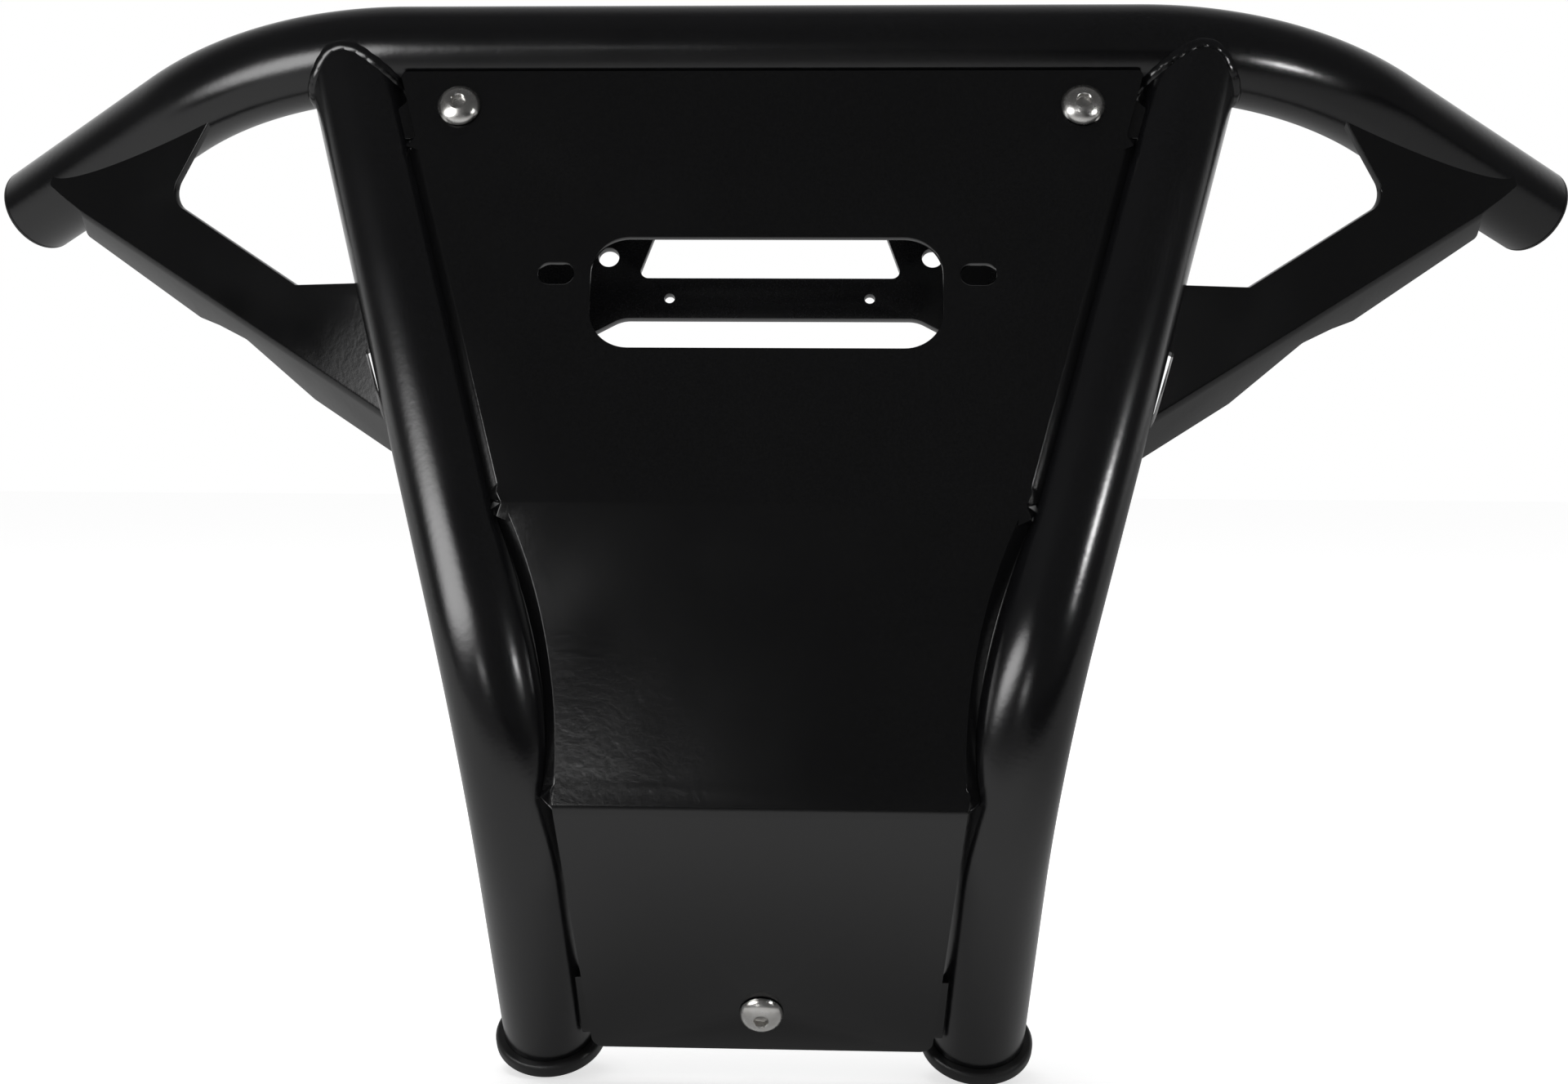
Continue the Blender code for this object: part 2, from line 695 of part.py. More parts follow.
def make_wing(name, side, paint):
    """A plate from the tube's end to the upright, with its lower edge folded to a notched flange."""
    heel = Vector(WING_HEEL)
    run = (Vector(WING_FOOT) - heel).normalized()
    beyond = Vector((-run.y, run.x))
    total = (Vector(WING_FOOT) - heel).length + WING_REACH

    def by_fold(along, wide):
        point = heel + run * along + beyond * wide
        return (point.x, point.y)

    corners = [
        (*WING_TIP, 0),
        (*WING_CHIN, WING_CHIN_CORNER),
        (*WING_HEEL, 0),
        (*by_fold(FLANGE_TOE, FLANGE_TOE_WIDE), FLANGE_TOE_CORNER),
        (*by_fold(NOTCH_START, FLANGE_WIDE), FLANGE_CORNER),
        (*by_fold(NOTCH_FLOOR, FLANGE_NOTCH_WIDE), FLANGE_CORNER),
        (*by_fold(NOTCH_FLOOR_END, FLANGE_NECK_WIDE), FLANGE_CORNER),
        (*by_fold(NOTCH_END, FLANGE_FOOT_WIDE), FLANGE_CORNER),
        (*by_fold(total, FLANGE_FOOT_WIDE), 0),
        (*WING_SILL_END, 0),
        (*WING_SILL, WING_SILL_CORNER),
        (*WING_CROOK, WING_CROOK_CORNER),
        (*WING_HEAD, 0),
    ]
    outline = [Vector((-side * x, -y)) for x, y in rounded(corners)]
    bm = filled([outline])
    hinge = heel - beyond * FLANGE_BEND_R * math.tan(FLANGE_TURN / 2)
    fold(bm, (-side * hinge.x, -hinge.y), (-side * beyond.x, -beyond.y), FLANGE_BEND_R, FLANGE_TURN, FOLD_STEPS)
    wing = add_piece(f"{name}_wing", bm, RIG @ wing_frame(side), paint)
    thicken(wing, WING)
    cut_by_top_tube(wing, f"{name}_wing_top")
    beside_upright = upright_rod(side, SEAT, start=PAST_HEAD, end=PAST_WING)
    cut(wing, add_cutter(f"{name}_wing_edge", beside_upright, RIG))
    slit = upright_rod(side, SLIT_WIDE, start=SLIT_START / KNEE_DOWN, end=SLIT_END / KNEE_DOWN)
    cut(wing, add_cutter(f"{name}_wing_slit", slit, RIG))


def make_tab(name, side, paint):
    """A lug in the corner of the upright and the top tube, behind a top screw."""
    low = TOP_SCREW_DOWN + TAB_HIGH / 2
    inner = TOP_SCREW_X - TAB_REACH
    outer = upright_x(TOP_SCREW_DOWN) - TUBE_R / 2
    relief = upright_x(TOP_SCREW_DOWN) - 2 * TUBE_R - 2 * BEAD_R
    outline = rounded(
        [
            (side * inner, 0, 0),
            (side * inner, -low, TAB_CORNER),
            (side * outer, -low, 0),
            (side * outer, relief - outer, 0),
            (side * relief, 0, 0),
        ]
    )
    hole = circle(side * TOP_SCREW_X, -TOP_SCREW_DOWN, SCREW_HOLE_R)
    bm = plate([outline, hole], TAB)
    depth = SHEET_FRONT - SHEET - SEAT
    tab = add_piece(f"{name}_tab", bm, RIG @ UPPER @ Matrix.Translation((0, 0, depth)), paint)
    cut_by_top_tube(tab, f"{name}_tab_top")
    cut(tab, add_cutter(f"{name}_tab_side", upright_rod(side, SEAT, start=PAST_HEAD), RIG))


def lower_flat():
    """The frame of the face sheet's lower flat: Y = 0 on its fold, Z = 0 on its front."""
    knee = UPPER @ Vector((0, -SHEET_UPPER, SHEET_FRONT))
    middle = UPPER @ Matrix.Rotation(UPPER_FOLD, 4, "X")
    knee += middle.to_3x3() @ Vector((0, -SHEET_MIDDLE, 0))
    return Matrix.Translation(knee) @ middle @ Matrix.Rotation(LOWER_FOLD, 4, "X")


def make_strap(paint):
    """A flat bar from upright to upright, behind the lower screw."""
    middle = -(SHEET_LOWER - FOOT_SCREW_UP)
    half = KNEE_X
    outline = [
        Vector((-half, middle - STRAP_HIGH / 2)),
        Vector((half, middle - STRAP_HIGH / 2)),
        Vector((half, middle + STRAP_HIGH / 2)),
        Vector((-half, middle + STRAP_HIGH / 2)),
    ]
    bm = plate([outline, circle(0, middle, SCREW_HOLE_R)], STRAP)
    place = lower_flat() @ Matrix.Translation((0, 0, -SHEET - SEAT))
    strap = add_piece("lower_strap", bm, RIG @ place, paint)
    for name, side in (("left", -1), ("right", 1)):
        _, knee, end = upright_corners(side)
        bar = rod([knee, end + (end - knee) * PAST_FOOT], TUBE_R + SEAT)
        cut(strap, add_cutter(f"{name}_strap_end", bar, RIG))


def screw_places():
    """Where the three screws sit: their seats on the sheet's front, and what is behind it."""
    front = RIG @ UPPER
    foot = RIG @ lower_flat()
    return [
        ("left_top", front @ Matrix.Translation((-TOP_SCREW_X, -TOP_SCREW_DOWN, SHEET_FRONT)), TAB),
        ("right_top", front @ Matrix.Translation((TOP_SCREW_X, -TOP_SCREW_DOWN, SHEET_FRONT)), TAB),
        ("lower", foot @ Matrix.Translation((0, FOOT_SCREW_UP - SHEET_LOWER, 0)), STRAP),
    ]


def make_screw(name, place, steel):
    """A button-head screw with a hexagon socket, its seat on Z = 0."""
    profile = [(0, -SCREW_LONG), (SCREW_R, -SCREW_LONG), (SCREW_R, SEAT), (SCREW_HEAD_R, SEAT)]
    last = math.acos(SCREW_LIP_R / SCREW_HEAD_R)
    for step in range(DOME_STEPS + 1):
        a = last * (SCREW_RIM + (1 - SCREW_RIM) * step / DOME_STEPS)
        height = SCREW_HEAD_HIGH * math.sin(a) / math.sin(last)
        profile.append((SCREW_HEAD_R * math.cos(a), height))
    profile.append((0, SCREW_HEAD_HIGH))
    screw = add_piece(f"{name}_screw", turned(profile, SCREW_SIDES), place, steel)
    hexagon = circle(0, 0, SCREW_HEX / math.sqrt(3), 6)
    socket = plate([hexagon], 2 * SCREW_HEX_DEEP)
    lifted = place @ Matrix.Translation((0, 0, SCREW_HEAD_HIGH + SCREW_HEX_DEEP))
    cut(screw, add_cutter(f"{name}_socket", socket, lifted))


def make_nut(name, place, clamped, steel):
    """A hexagon nut behind what the screw clamps."""
    hexagon = circle(0, 0, NUT_FLATS / math.sqrt(3), 6)
    bm = plate([hexagon, circle(0, 0, SCREW_HOLE_R, SMALL_SIDES)], NUT_HIGH)
    behind = Matrix.Translation((0, 0, -SHEET - clamped - 2 * SEAT))
    add_piece(f"{name}_nut", bm, place @ behind, steel)


def main():
    clear_scene()
    paint = finish("black_powder_coat", (0.012, 0.012, 0.013), 0.38, 0.0)
    plastic = finish("black_plug", (0.015, 0.015, 0.016), 0.45, 0.0)
    steel = finish("stainless_steel", (0.62, 0.61, 0.60), 0.18, 1.0)
    make_top_tube(paint)
    make_face_sheet(paint)
    make_bracket(paint)
    make_strap(paint)
    for name, side in (("left", -1), ("right", 1)):
        make_upright(name, side, paint)
        make_weld_bead(name, side, paint)
        make_wing(name, side, paint)
        make_tab(name, side, paint)
        make_top_cap(name, side, plastic)
        make_foot_cap(name, side, plastic)
    for name, place, clamped in screw_places():
        make_screw(name, place, steel)
        make_nut(name, place, clamped, steel)


main()
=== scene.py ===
import math

import bmesh
import bpy
from mathutils import Matrix, Vector


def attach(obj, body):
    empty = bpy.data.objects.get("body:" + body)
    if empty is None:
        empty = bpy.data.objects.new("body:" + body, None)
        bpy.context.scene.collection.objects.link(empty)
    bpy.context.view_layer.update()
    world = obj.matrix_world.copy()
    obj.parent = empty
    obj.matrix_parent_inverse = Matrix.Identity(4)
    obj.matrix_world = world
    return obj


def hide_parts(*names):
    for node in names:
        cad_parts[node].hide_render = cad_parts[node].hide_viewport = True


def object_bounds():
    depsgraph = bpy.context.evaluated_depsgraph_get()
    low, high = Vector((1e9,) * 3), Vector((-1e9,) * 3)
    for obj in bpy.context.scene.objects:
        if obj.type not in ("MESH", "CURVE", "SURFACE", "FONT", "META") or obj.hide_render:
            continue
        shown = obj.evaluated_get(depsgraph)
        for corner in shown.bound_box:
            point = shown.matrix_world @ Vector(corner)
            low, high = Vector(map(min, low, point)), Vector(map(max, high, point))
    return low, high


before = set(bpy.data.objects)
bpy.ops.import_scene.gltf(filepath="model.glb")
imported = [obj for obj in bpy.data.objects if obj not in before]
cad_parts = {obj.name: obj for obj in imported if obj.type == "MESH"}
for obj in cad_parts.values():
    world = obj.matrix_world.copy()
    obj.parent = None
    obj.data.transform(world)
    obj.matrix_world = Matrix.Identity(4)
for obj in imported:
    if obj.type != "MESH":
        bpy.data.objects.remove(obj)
cad_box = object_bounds()


# The view. From the front, a little right of the middle and level with the opening. The picture is
# framed off centre, which the shift gives.
CAMERA_PLACE = Vector((0.02260, -0.939124, -0.040489))
CAMERA_AHEAD = Vector((-0.04955, 0.99728, -0.05451)).normalized()
CAMERA_RIGHT = Vector((0.99874, 0.04990, 0.00498))

across = (CAMERA_RIGHT - CAMERA_AHEAD * CAMERA_RIGHT.dot(CAMERA_AHEAD)).normalized()
camera_turn = Matrix((across, across.cross(CAMERA_AHEAD), -CAMERA_AHEAD)).transposed().to_4x4()
camera = bpy.data.objects.new("camera", bpy.data.cameras.new("camera"))
camera.data.lens = 56.2
camera.data.sensor_width = 36
camera.data.shift_x = 0.05
camera.data.clip_start = 0.01
camera.matrix_world = Matrix.Translation(CAMERA_PLACE) @ camera_turn
bpy.context.scene.collection.objects.link(camera)
bpy.context.scene.camera = camera
bpy.context.scene.view_settings.view_transform = "Standard"


# The coat. Polyester powder, sprayed dry on the welded steel and baked to a hard film about 0.08 mm
# thick. It cures semi-gloss and near black, with the slight waves called orange peel and a fine grain.
def colour(code):
    """A linear colour from an sRGB hex value."""
    channels = [int(code[i : i + 2], 16) / 255 for i in (1, 3, 5)]
    return (*[c / 12.92 if c <= 0.04045 else ((c + 0.055) / 1.055) ** 2.4 for c in channels], 1)


def add_node(tree, kind, inputs=None, **settings):
    """Adds a node: settings are its properties, inputs its sockets' values or what is linked to them."""
    node = tree.nodes.new(kind)
    for name, value in settings.items():
        setattr(node, name, value)
    for name, value in (inputs or {}).items():
        socket = node.inputs[name]
        if isinstance(value, bpy.types.NodeSocket):
            tree.links.new(value, socket)
        else:
            socket.default_value = value
    return node


def new_material(name):
    """A material, its node tree and its shader."""
    material = bpy.data.materials.new(name)
    material.use_nodes = True
    return material, material.node_tree, material.node_tree.nodes["Principled BSDF"]


def tint_between(tree, shader, noise, low, high, dark, light):
    """Base colour from dark to light as a noise goes from low to high."""
    tint = add_node(tree, "ShaderNodeValToRGB", {"Fac": noise.outputs["Fac"]})
    for element, position, code in zip(tint.color_ramp.elements, (low, high), (dark, light)):
        element.position = position
        element.color = colour(code)
    tree.links.new(tint.outputs["Color"], shader.inputs["Base Color"])


def gloss_between(tree, shader, noise, smooth, rough):
    """Roughness that drifts with a noise."""
    gloss = add_node(
        tree,
        "ShaderNodeMapRange",
        {"Value": noise.outputs["Fac"], "From Min": 0.3, "From Max": 0.7, "To Min": smooth, "To Max": rough},
    )
    tree.links.new(gloss.outputs["Result"], shader.inputs["Roughness"])


def bumped(tree, height, distance, strength=1.0):
    """A bump node of a height socket, in metres."""
    return add_node(tree, "ShaderNodeBump", {"Height": height, "Strength": strength, "Distance": distance})


def coated_steel(name, dark, light, roughness, spread):
    """Powder coat from two near blacks, with its gloss drifting by spread about roughness."""
    material, tree, shader = new_material(name)
    place = add_node(tree, "ShaderNodeTexCoord").outputs["Object"]
    # Real grain is finer than a tenth of a millimetre: it is drawn at 0.8 mm so that it shows
    grain = add_node(tree, "ShaderNodeTexNoise", {"Vector": place, "Scale": 1 / 0.0008, "Detail": 3})
    # Orange peel, about 2.5 mm from crest to crest
    peel = add_node(tree, "ShaderNodeTexNoise", {"Vector": place, "Scale": 1 / 0.0025, "Detail": 1})
    # Film build varies over a hand's width
    cloud = add_node(tree, "ShaderNodeTexNoise", {"Vector": place, "Scale": 1 / 0.045, "Detail": 2})
    tint_between(tree, shader, grain, 0.35, 0.72, dark, light)
    gloss_between(tree, shader, cloud, roughness - spread, roughness + spread)
    waves = bumped(tree, peel.outputs["Fac"], 0.00003)
    fine = bumped(tree, grain.outputs["Fac"], 0.000012)
    tree.links.new(waves.outputs["Normal"], fine.inputs["Normal"])
    tree.links.new(fine.outputs["Normal"], shader.inputs["Normal"])
    shader.inputs["IOR"].default_value = 1.55
    return material


tube_coat = coated_steel("semi_gloss_black_powder_coat", "#0a0a0b", "#131315", 0.21, 0.03)


# Top tube. Round steel tube, 34.9 mm across with a 2.6 mm wall, bent cold at two places so that its
# ends drop and sweep back. Coated with the rest after welding.
SEAT = 0.0003
TUBE_R = 0.01745
TUBE_WALL = 0.0026
TUBE_SIDES = 112
BEND_STEPS = 40
TOP_HALF = 0.1375
TOP_BEND_R = 0.152
TOP_BEND = math.radians(39.4)
TOP_DROP = math.radians(34.6)
TOP_END = 0.091
LEAN = math.radians(21.07)
HEAD_X = 0.1596
BRACKET_BACK = 0.0383
BRACKET_MIDDLE = 0.0846
SMOOTH_ANGLE = math.radians(28)

# The upright's plane, the level of the uprights' heads, and the top tube's own plane
UPPER = Matrix.Rotation(math.pi / 2 - LEAN, 4, "X")
RIG = Matrix.Translation(UPPER @ Vector((0, BRACKET_MIDDLE, BRACKET_BACK)))
HEAD_BEND = math.asin((HEAD_X - TOP_HALF) / TOP_BEND_R)
TOP_RISE = TOP_BEND_R * (1 - math.cos(HEAD_BEND))
BAR = RIG @ Matrix.Rotation(-TOP_DROP, 4, "X") @ Matrix.Translation((0, -TOP_RISE, 0))


def new_tree(name, inputs):
    """A Geometry Nodes tree with a geometry input and output and the named inputs, and its input sockets."""
    tree = bpy.data.node_groups.new(name, "GeometryNodeTree")
    tree.interface.new_socket("Geometry", in_out="OUTPUT", socket_type="NodeSocketGeometry")
    tree.interface.new_socket("Geometry", in_out="INPUT", socket_type="NodeSocketGeometry")
    for label, kind in inputs.items():
        tree.interface.new_socket(label, in_out="INPUT", socket_type=f"NodeSocket{kind}")
    return tree, add_node(tree, "NodeGroupInput").outputs


def end_tree(tree, geometry, finish):
    """Ends a tree with real geometry in one finish."""
    whole = add_node(tree, "GeometryNodeRealizeInstances", {"Geometry": geometry})
    coated = add_node(
        tree,
        "GeometryNodeSetMaterial",
        {"Geometry": whole.outputs["Geometry"], "Material": finish},
    )
    add_node(tree, "NodeGroupOutput", {"Geometry": coated.outputs["Geometry"]})


def grown(tree, base, values):
    """The plain mesh that a tree makes from a base mesh and the values of its inputs."""
    seed = bpy.data.objects.new(tree.name, base)
    bpy.context.scene.collection.objects.link(seed)
    modifier = seed.modifiers.new(tree.name, "NODES")
    modifier.node_group = tree
    for item in tree.interface.items_tree:
        if item.in_out == "INPUT" and item.name in values:
            modifier[item.identifier] = values[item.name]
    made = bpy.data.meshes.new_from_object(seed.evaluated_get(bpy.context.evaluated_depsgraph_get()))
    bpy.data.objects.remove(seed)
    return made


def line(points, closed=False):
    """A mesh of points joined in their order."""
    mesh = bpy.data.meshes.new("line")
    joins = [(i, i + 1) for i in range(len(points) - 1)]
    if closed:
        joins.append((len(points) - 1, 0))
    mesh.from_pydata([tuple(point) for point in points], joins, [])
    return mesh


def add_piece(name, mesh, place):
    """An object at the origin with its place in its mesh."""
    mesh.name = name
    mesh.transform(place)
    piece = bpy.data.objects.new(name, mesh)
    bpy.context.scene.collection.objects.link(piece)
    return piece


def cut(piece, mesh, place, operation="DIFFERENCE"):
    """Cuts a piece with a closed mesh."""
    cutter = add_piece("cutter", mesh, place)
    cutter.hide_render = True
    modifier = piece.modifiers.new("Cut", "BOOLEAN")
    modifier.operation = operation
    modifier.solver = "EXACT"
    modifier.object = cutter


def settle(piece):
    """Turns a piece and its modifiers to a plain mesh, and removes its cutters."""
    cutters = [modifier.object for modifier in piece.modifiers if modifier.type == "BOOLEAN"]
    made = bpy.data.meshes.new_from_object(piece.evaluated_get(bpy.context.evaluated_depsgraph_get()))
    piece.modifiers.clear()
    piece.data = made
    for cutter in cutters:
        bpy.data.objects.remove(cutter)


def shade(piece, angle=SMOOTH_ANGLE):
    """Smooth shading between edges sharper than an angle."""
    piece.data.shade_smooth()
    piece.data.set_sharp_from_angle(angle=angle)


def stand_for(piece, slot, *nodes):
    """Hands a finished piece to the frame in place of solids."""
    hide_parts(*nodes)
    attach(piece, "root")


tube_tree, given = new_tree(
    "bent_tube",
    {
        "Radius": "Float",
        "Bend Radius": "Float",
        "Bend Steps": "Int",
        "Sides": "Int",
        "Closed Ends": "Bool",
        "Finish": "Material",
    },
)
run = add_node(tube_tree, "GeometryNodeMeshToCurve", {"Mesh": given["Geometry"]})
bends = add_node(
    tube_tree,
    "GeometryNodeFilletCurve",
    {
        "Curve": run.outputs["Curve"],
        "Count": given["Bend Steps"],
        "Radius": given["Bend Radius"],
    },
    mode="POLY",
)
section = add_node(
    tube_tree,
    "GeometryNodeCurvePrimitiveCircle",
    {"Resolution": given["Sides"], "Radius": given["Radius"]},
)
skin = add_node(
    tube_tree,
    "GeometryNodeCurveToMesh",
    {
        "Curve": bends.outputs["Curve"],
        "Profile Curve": section.outputs["Curve"],
        "Fill Caps": given["Closed Ends"],
    },
)
end_tree(tube_tree, skin.outputs["Mesh"], given["Finish"])


def round_bar(points, radius, bend_radius=0.0, closed=True):
    """A round skin along points whose inner corners are bent."""
    values = {
        "Radius": radius,
        "Bend Radius": bend_radius,
        "Bend Steps": BEND_STEPS,
        "Sides": TUBE_SIDES,
        "Closed Ends": closed,
        "Finish": tube_coat,
    }
    return grown(tube_tree, line(points), values)


def give_wall(piece, wall):
    """A skin's thickness, inwards from its outer face."""
    modifier = piece.modifiers.new("Wall", "SOLIDIFY")
    modifier.thickness = wall
    modifier.offset = -1
    modifier.use_even_offset = True


reach = TOP_BEND_R * math.tan(TOP_BEND / 2)
run_out = reach + TOP_END
top_corner = Vector((TOP_HALF + reach, 0, 0))
top_end = top_corner + run_out * Vector((math.cos(TOP_BEND), math.sin(TOP_BEND), 0))
mirror_x = Matrix.Scale(-1, 4, (1, 0, 0))
top_corners = [mirror_x @ top_end, mirror_x @ top_corner, top_corner, top_end]

top_tube = add_piece("top_tube_finished", round_bar(top_corners, TUBE_R, TOP_BEND_R, closed=False), BAR)
give_wall(top_tube, TUBE_WALL)
settle(top_tube)
shade(top_tube)
stand_for(top_tube, "coat", "top_tube")


# Uprights. The same tube, coped to a saddle under the top tube, leaning forward and closing in down
# to one long bend, and swept back below it.
SWEEP = math.radians(30.81)
KNEE_X = 0.0862
KNEE_DOWN = 0.2708
FOOT_X = 0.0794
FOOT_DOWN = 0.1370
KNEE_R = 0.110
FOOT_RIM = 0.0055
LOWER = Matrix.Rotation(math.pi / 2 + SWEEP, 4, "X")
SIDES = (("left", -1), ("right", 1))


def upright_corners(side):
    head = Vector((side * HEAD_X, 0, 0))
    knee = UPPER @ Vector((side * KNEE_X, -KNEE_DOWN, 0))
    foot = knee + LOWER @ Vector((side * (FOOT_X - KNEE_X), -FOOT_DOWN, 0))
    end = foot + (knee - foot).normalized() * (FOOT_RIM + SEAT)
    return head, knee, end


for name, side in SIDES:
    skin = round_bar(upright_corners(side), TUBE_R, KNEE_R, closed=False)
    upright = add_piece(f"{name}_upright_finished", skin, RIG)
    give_wall(upright, TUBE_WALL)
    cut(upright, round_bar(top_corners, TUBE_R - SEAT, TOP_BEND_R), BAR)
    settle(upright)
    shade(upright)
    stand_for(upright, "coat", f"{name}_upright")


# Weld beads. One pass of wire-fed weld round each coped joint, laid in overlapping ripples about
# 2.4 mm apart and softened by the coat.
BEAD_R = 0.0034
BEAD_SINK = 0.0020
BEAD_POINTS = 360
BEAD_SIDES = 20
RIPPLE_PITCH = 0.0024
RIPPLE_HIGH = 0.00018
RIPPLE_BOW = 0.8
SEAM_EASE = 30
BEAD_SMOOTH = math.radians(60)


def off_top_tube(point):
    """The shortest step from the top tube's axis to a point in the uprights' frame."""
    here = BAR.inverted() @ RIG @ point
    if abs(here.x) <= TOP_HALF:
        step = Vector((0, here.y, here.z))
    else:
        centre = Vector((math.copysign(TOP_HALF, here.x), TOP_BEND_R, 0))
        flat = Vector((here.x, here.y, 0)) - centre
        step = here - centre - flat.normalized() * TOP_BEND_R
    return (RIG.inverted() @ BAR).to_3x3() @ step


def saddle(side):
    """The seam where an upright meets the top tube: its points and the way out of the corner at each."""
    head, knee, _ = upright_corners(side)
    down = (knee - head).normalized()
    beside = down.orthogonal().normalized()
    other = down.cross(beside)
    points = []
    lifts = []
    for i in range(BEAD_POINTS):
        turn = 2 * math.pi * i / BEAD_POINTS
        out = beside * math.cos(turn) + other * math.sin(turn)
        near, far = 0.0, 3 * TUBE_R
        while far - near > 1e-7:
            middle = (near + far) / 2
            away = off_top_tube(head + out * TUBE_R + down * middle)
            if away.length < TUBE_R:
                near = middle
            else:
                far = middle
        away.normalize()
        lift = (out + away).normalized()
        sink = BEAD_SINK * max(out.dot(away), 0)
        points.append(head + out * TUBE_R + down * near - lift * sink)
        lifts.append(lift)
    eased = []
    for i in range(BEAD_POINTS):
        nearby = [points[(i + step) % BEAD_POINTS] for step in range(-SEAM_EASE, SEAM_EASE + 1)]
        eased.append(sum(nearby, Vector()) / len(nearby))
    return eased, lifts


bead_tree, given = new_tree(
    "weld_bead",
    {
        "Radius": "Float",
        "Pitch": "Float",
        "Ripple": "Float",
        "Bow": "Float",
        "Sides": "Int",
        "Finish": "Material",
    },
)
seam = add_node(bead_tree, "GeometryNodeMeshToCurve", {"Mesh": given["Geometry"]})
along = add_node(bead_tree, "GeometryNodeSplineParameter")
kept = add_node(bead_tree, "GeometryNodeCaptureAttribute", {"Geometry": seam.outputs["Curve"]})
kept.capture_items.new("FLOAT", "Length")
bead_tree.links.new(along.outputs["Length"], kept.inputs["Length"])
section = add_node(
    bead_tree,
    "GeometryNodeCurvePrimitiveCircle",
    {"Resolution": given["Sides"], "Radius": given["Radius"]},
)
skin = add_node(
    bead_tree,
    "GeometryNodeCurveToMesh",
    {"Curve": kept.outputs["Geometry"], "Profile Curve": section.outputs["Curve"]},
)
outward = add_node(bead_tree, "GeometryNodeInputNormal").outputs["Normal"]
lift = add_node(
    bead_tree,
    "GeometryNodeInputNamedAttribute",
    {"Name": "lift"},
    data_type="FLOAT_VECTOR",
)
facing = add_node(
    bead_tree,
    "ShaderNodeVectorMath",
    {0: outward, 1: lift.outputs["Attribute"]},
    operation="DOT_PRODUCT",
)
beats = add_node(
    bead_tree,
    "ShaderNodeMath",
    {0: kept.outputs["Length"], 1: given["Pitch"]},
    operation="DIVIDE",
)
bowed = add_node(
    bead_tree,
    "ShaderNodeMath",
    {0: facing.outputs["Value"], 1: given["Bow"], 2: beats.outputs["Value"]},
    operation="MULTIPLY_ADD",
)
wave = add_node(
    bead_tree,
    "ShaderNodeMath",
    {0: bowed.outputs["Value"], 1: 1.0},
    operation="PINGPONG",
)
lower = add_node(
    bead_tree,
    "ShaderNodeMath",
    {0: wave.outputs["Value"], 1: wave.outputs["Value"]},
    operation="MULTIPLY",
)
depth = add_node(
    bead_tree,
    "ShaderNodeMath",
    {0: lower.outputs["Value"], 1: given["Ripple"]},
    operation="MULTIPLY",
)
sunk = add_node(
    bead_tree,
    "ShaderNodeVectorMath",
    {0: outward, "Scale": depth.outputs["Value"]},
    operation="SCALE",
)
rippled = add_node(
    bead_tree,
    "GeometryNodeSetPosition",
    {"Geometry": skin.outputs["Mesh"], "Offset": sunk.outputs["Vector"]},
)
end_tree(bead_tree, rippled.outputs["Geometry"], given["Finish"])

for name, side in SIDES:
    points, lifts = saddle(side)
    seam = line(points, closed=True)
    lift = seam.attributes.new("lift", "FLOAT_VECTOR", "POINT")
    lift.data.foreach_set("vector", [value for vector in lifts for value in vector])
    values = {
        "Radius": BEAD_R,
        "Pitch": RIPPLE_PITCH,
        "Ripple": -RIPPLE_HIGH,
        "Bow": RIPPLE_BOW,
        "Sides": BEAD_SIDES,
        "Finish": tube_coat,
    }
    bead = add_piece(f"{name}_weld_bead_finished", grown(bead_tree, seam, values), RIG)
    shade(bead, BEAD_SMOOTH)
    stand_for(bead, "coat", f"{name}_weld_bead")


# Caps. Polyethylene plugs, moulded black with a satin skin: domed ones pushed into the top tube's
# ends until their flange meets the tube, and flat ones with a rounded rim under the uprights.
plug_plastic, tree, shader = new_material("moulded_black_polyethylene")
shader.inputs["Base Color"].default_value = colour("#101011")
shader.inputs["IOR"].default_value = 1.51
place = add_node(tree, "ShaderNodeTexCoord").outputs["Object"]
# The mould's spark-eroded skin, about half a millimetre coarse
skin = add_node(tree, "ShaderNodeTexNoise", {"Vector": place, "Scale": 1 / 0.0005, "Detail": 2})
rub = add_node(tree, "ShaderNodeTexNoise", {"Vector": place, "Scale": 1 / 0.009, "Detail": 4})
gloss_between(tree, shader, rub, 0.36, 0.48)
bump = bumped(tree, skin.outputs["Fac"], 0.00002)
tree.links.new(bump.outputs["Normal"], shader.inputs["Normal"])

PLUG_DEPTH = 0.012
PLUG_WALL = 0.002
CAP_RISE = 0.0032
CAP_EDGE = 0.0010
FOOT_RIM_R = 0.0208
FOOT_EDGE = 0.0016
TURN_STEPS = 96
ROUND_STEPS = 6
bore = TUBE_R - TUBE_WALL - SEAT


def turned(profile, material, steps=TURN_STEPS):
    """A solid of revolution about Z from a profile of (radius, height) points."""
    bm = bmesh.new()
    verts = [bm.verts.new((radius, 0, height)) for radius, height in profile]
    edges = [bm.edges.new(pair) for pair in zip(verts, verts[1:])]
    if profile[0][0] > 0:
        edges.append(bm.edges.new((verts[-1], verts[0])))
    full = 2 * math.pi
    bmesh.ops.spin(
        bm,
        geom=verts + edges,
        axis=(0, 0, 1),
        cent=(0, 0, 0),
        angle=full,
        steps=steps,
        use_merge=True,
    )
    bmesh.ops.remove_doubles(bm, verts=bm.verts[:], dist=1e-7)
    bmesh.ops.recalc_face_normals(bm, faces=bm.faces[:])
    mesh = bpy.data.meshes.new("turned")
    bm.to_mesh(mesh)
    bm.free()
    mesh.materials.append(material)
    return mesh


def quarter(x, y, radius, start):
    """Profile points of a quarter round about (x, y), turning clockwise from an angle in degrees."""
    turns = [math.radians(start - 90 * step / ROUND_STEPS) for step in range(ROUND_STEPS + 1)]
    return [(x + radius * math.cos(a), y + radius * math.sin(a)) for a in turns]


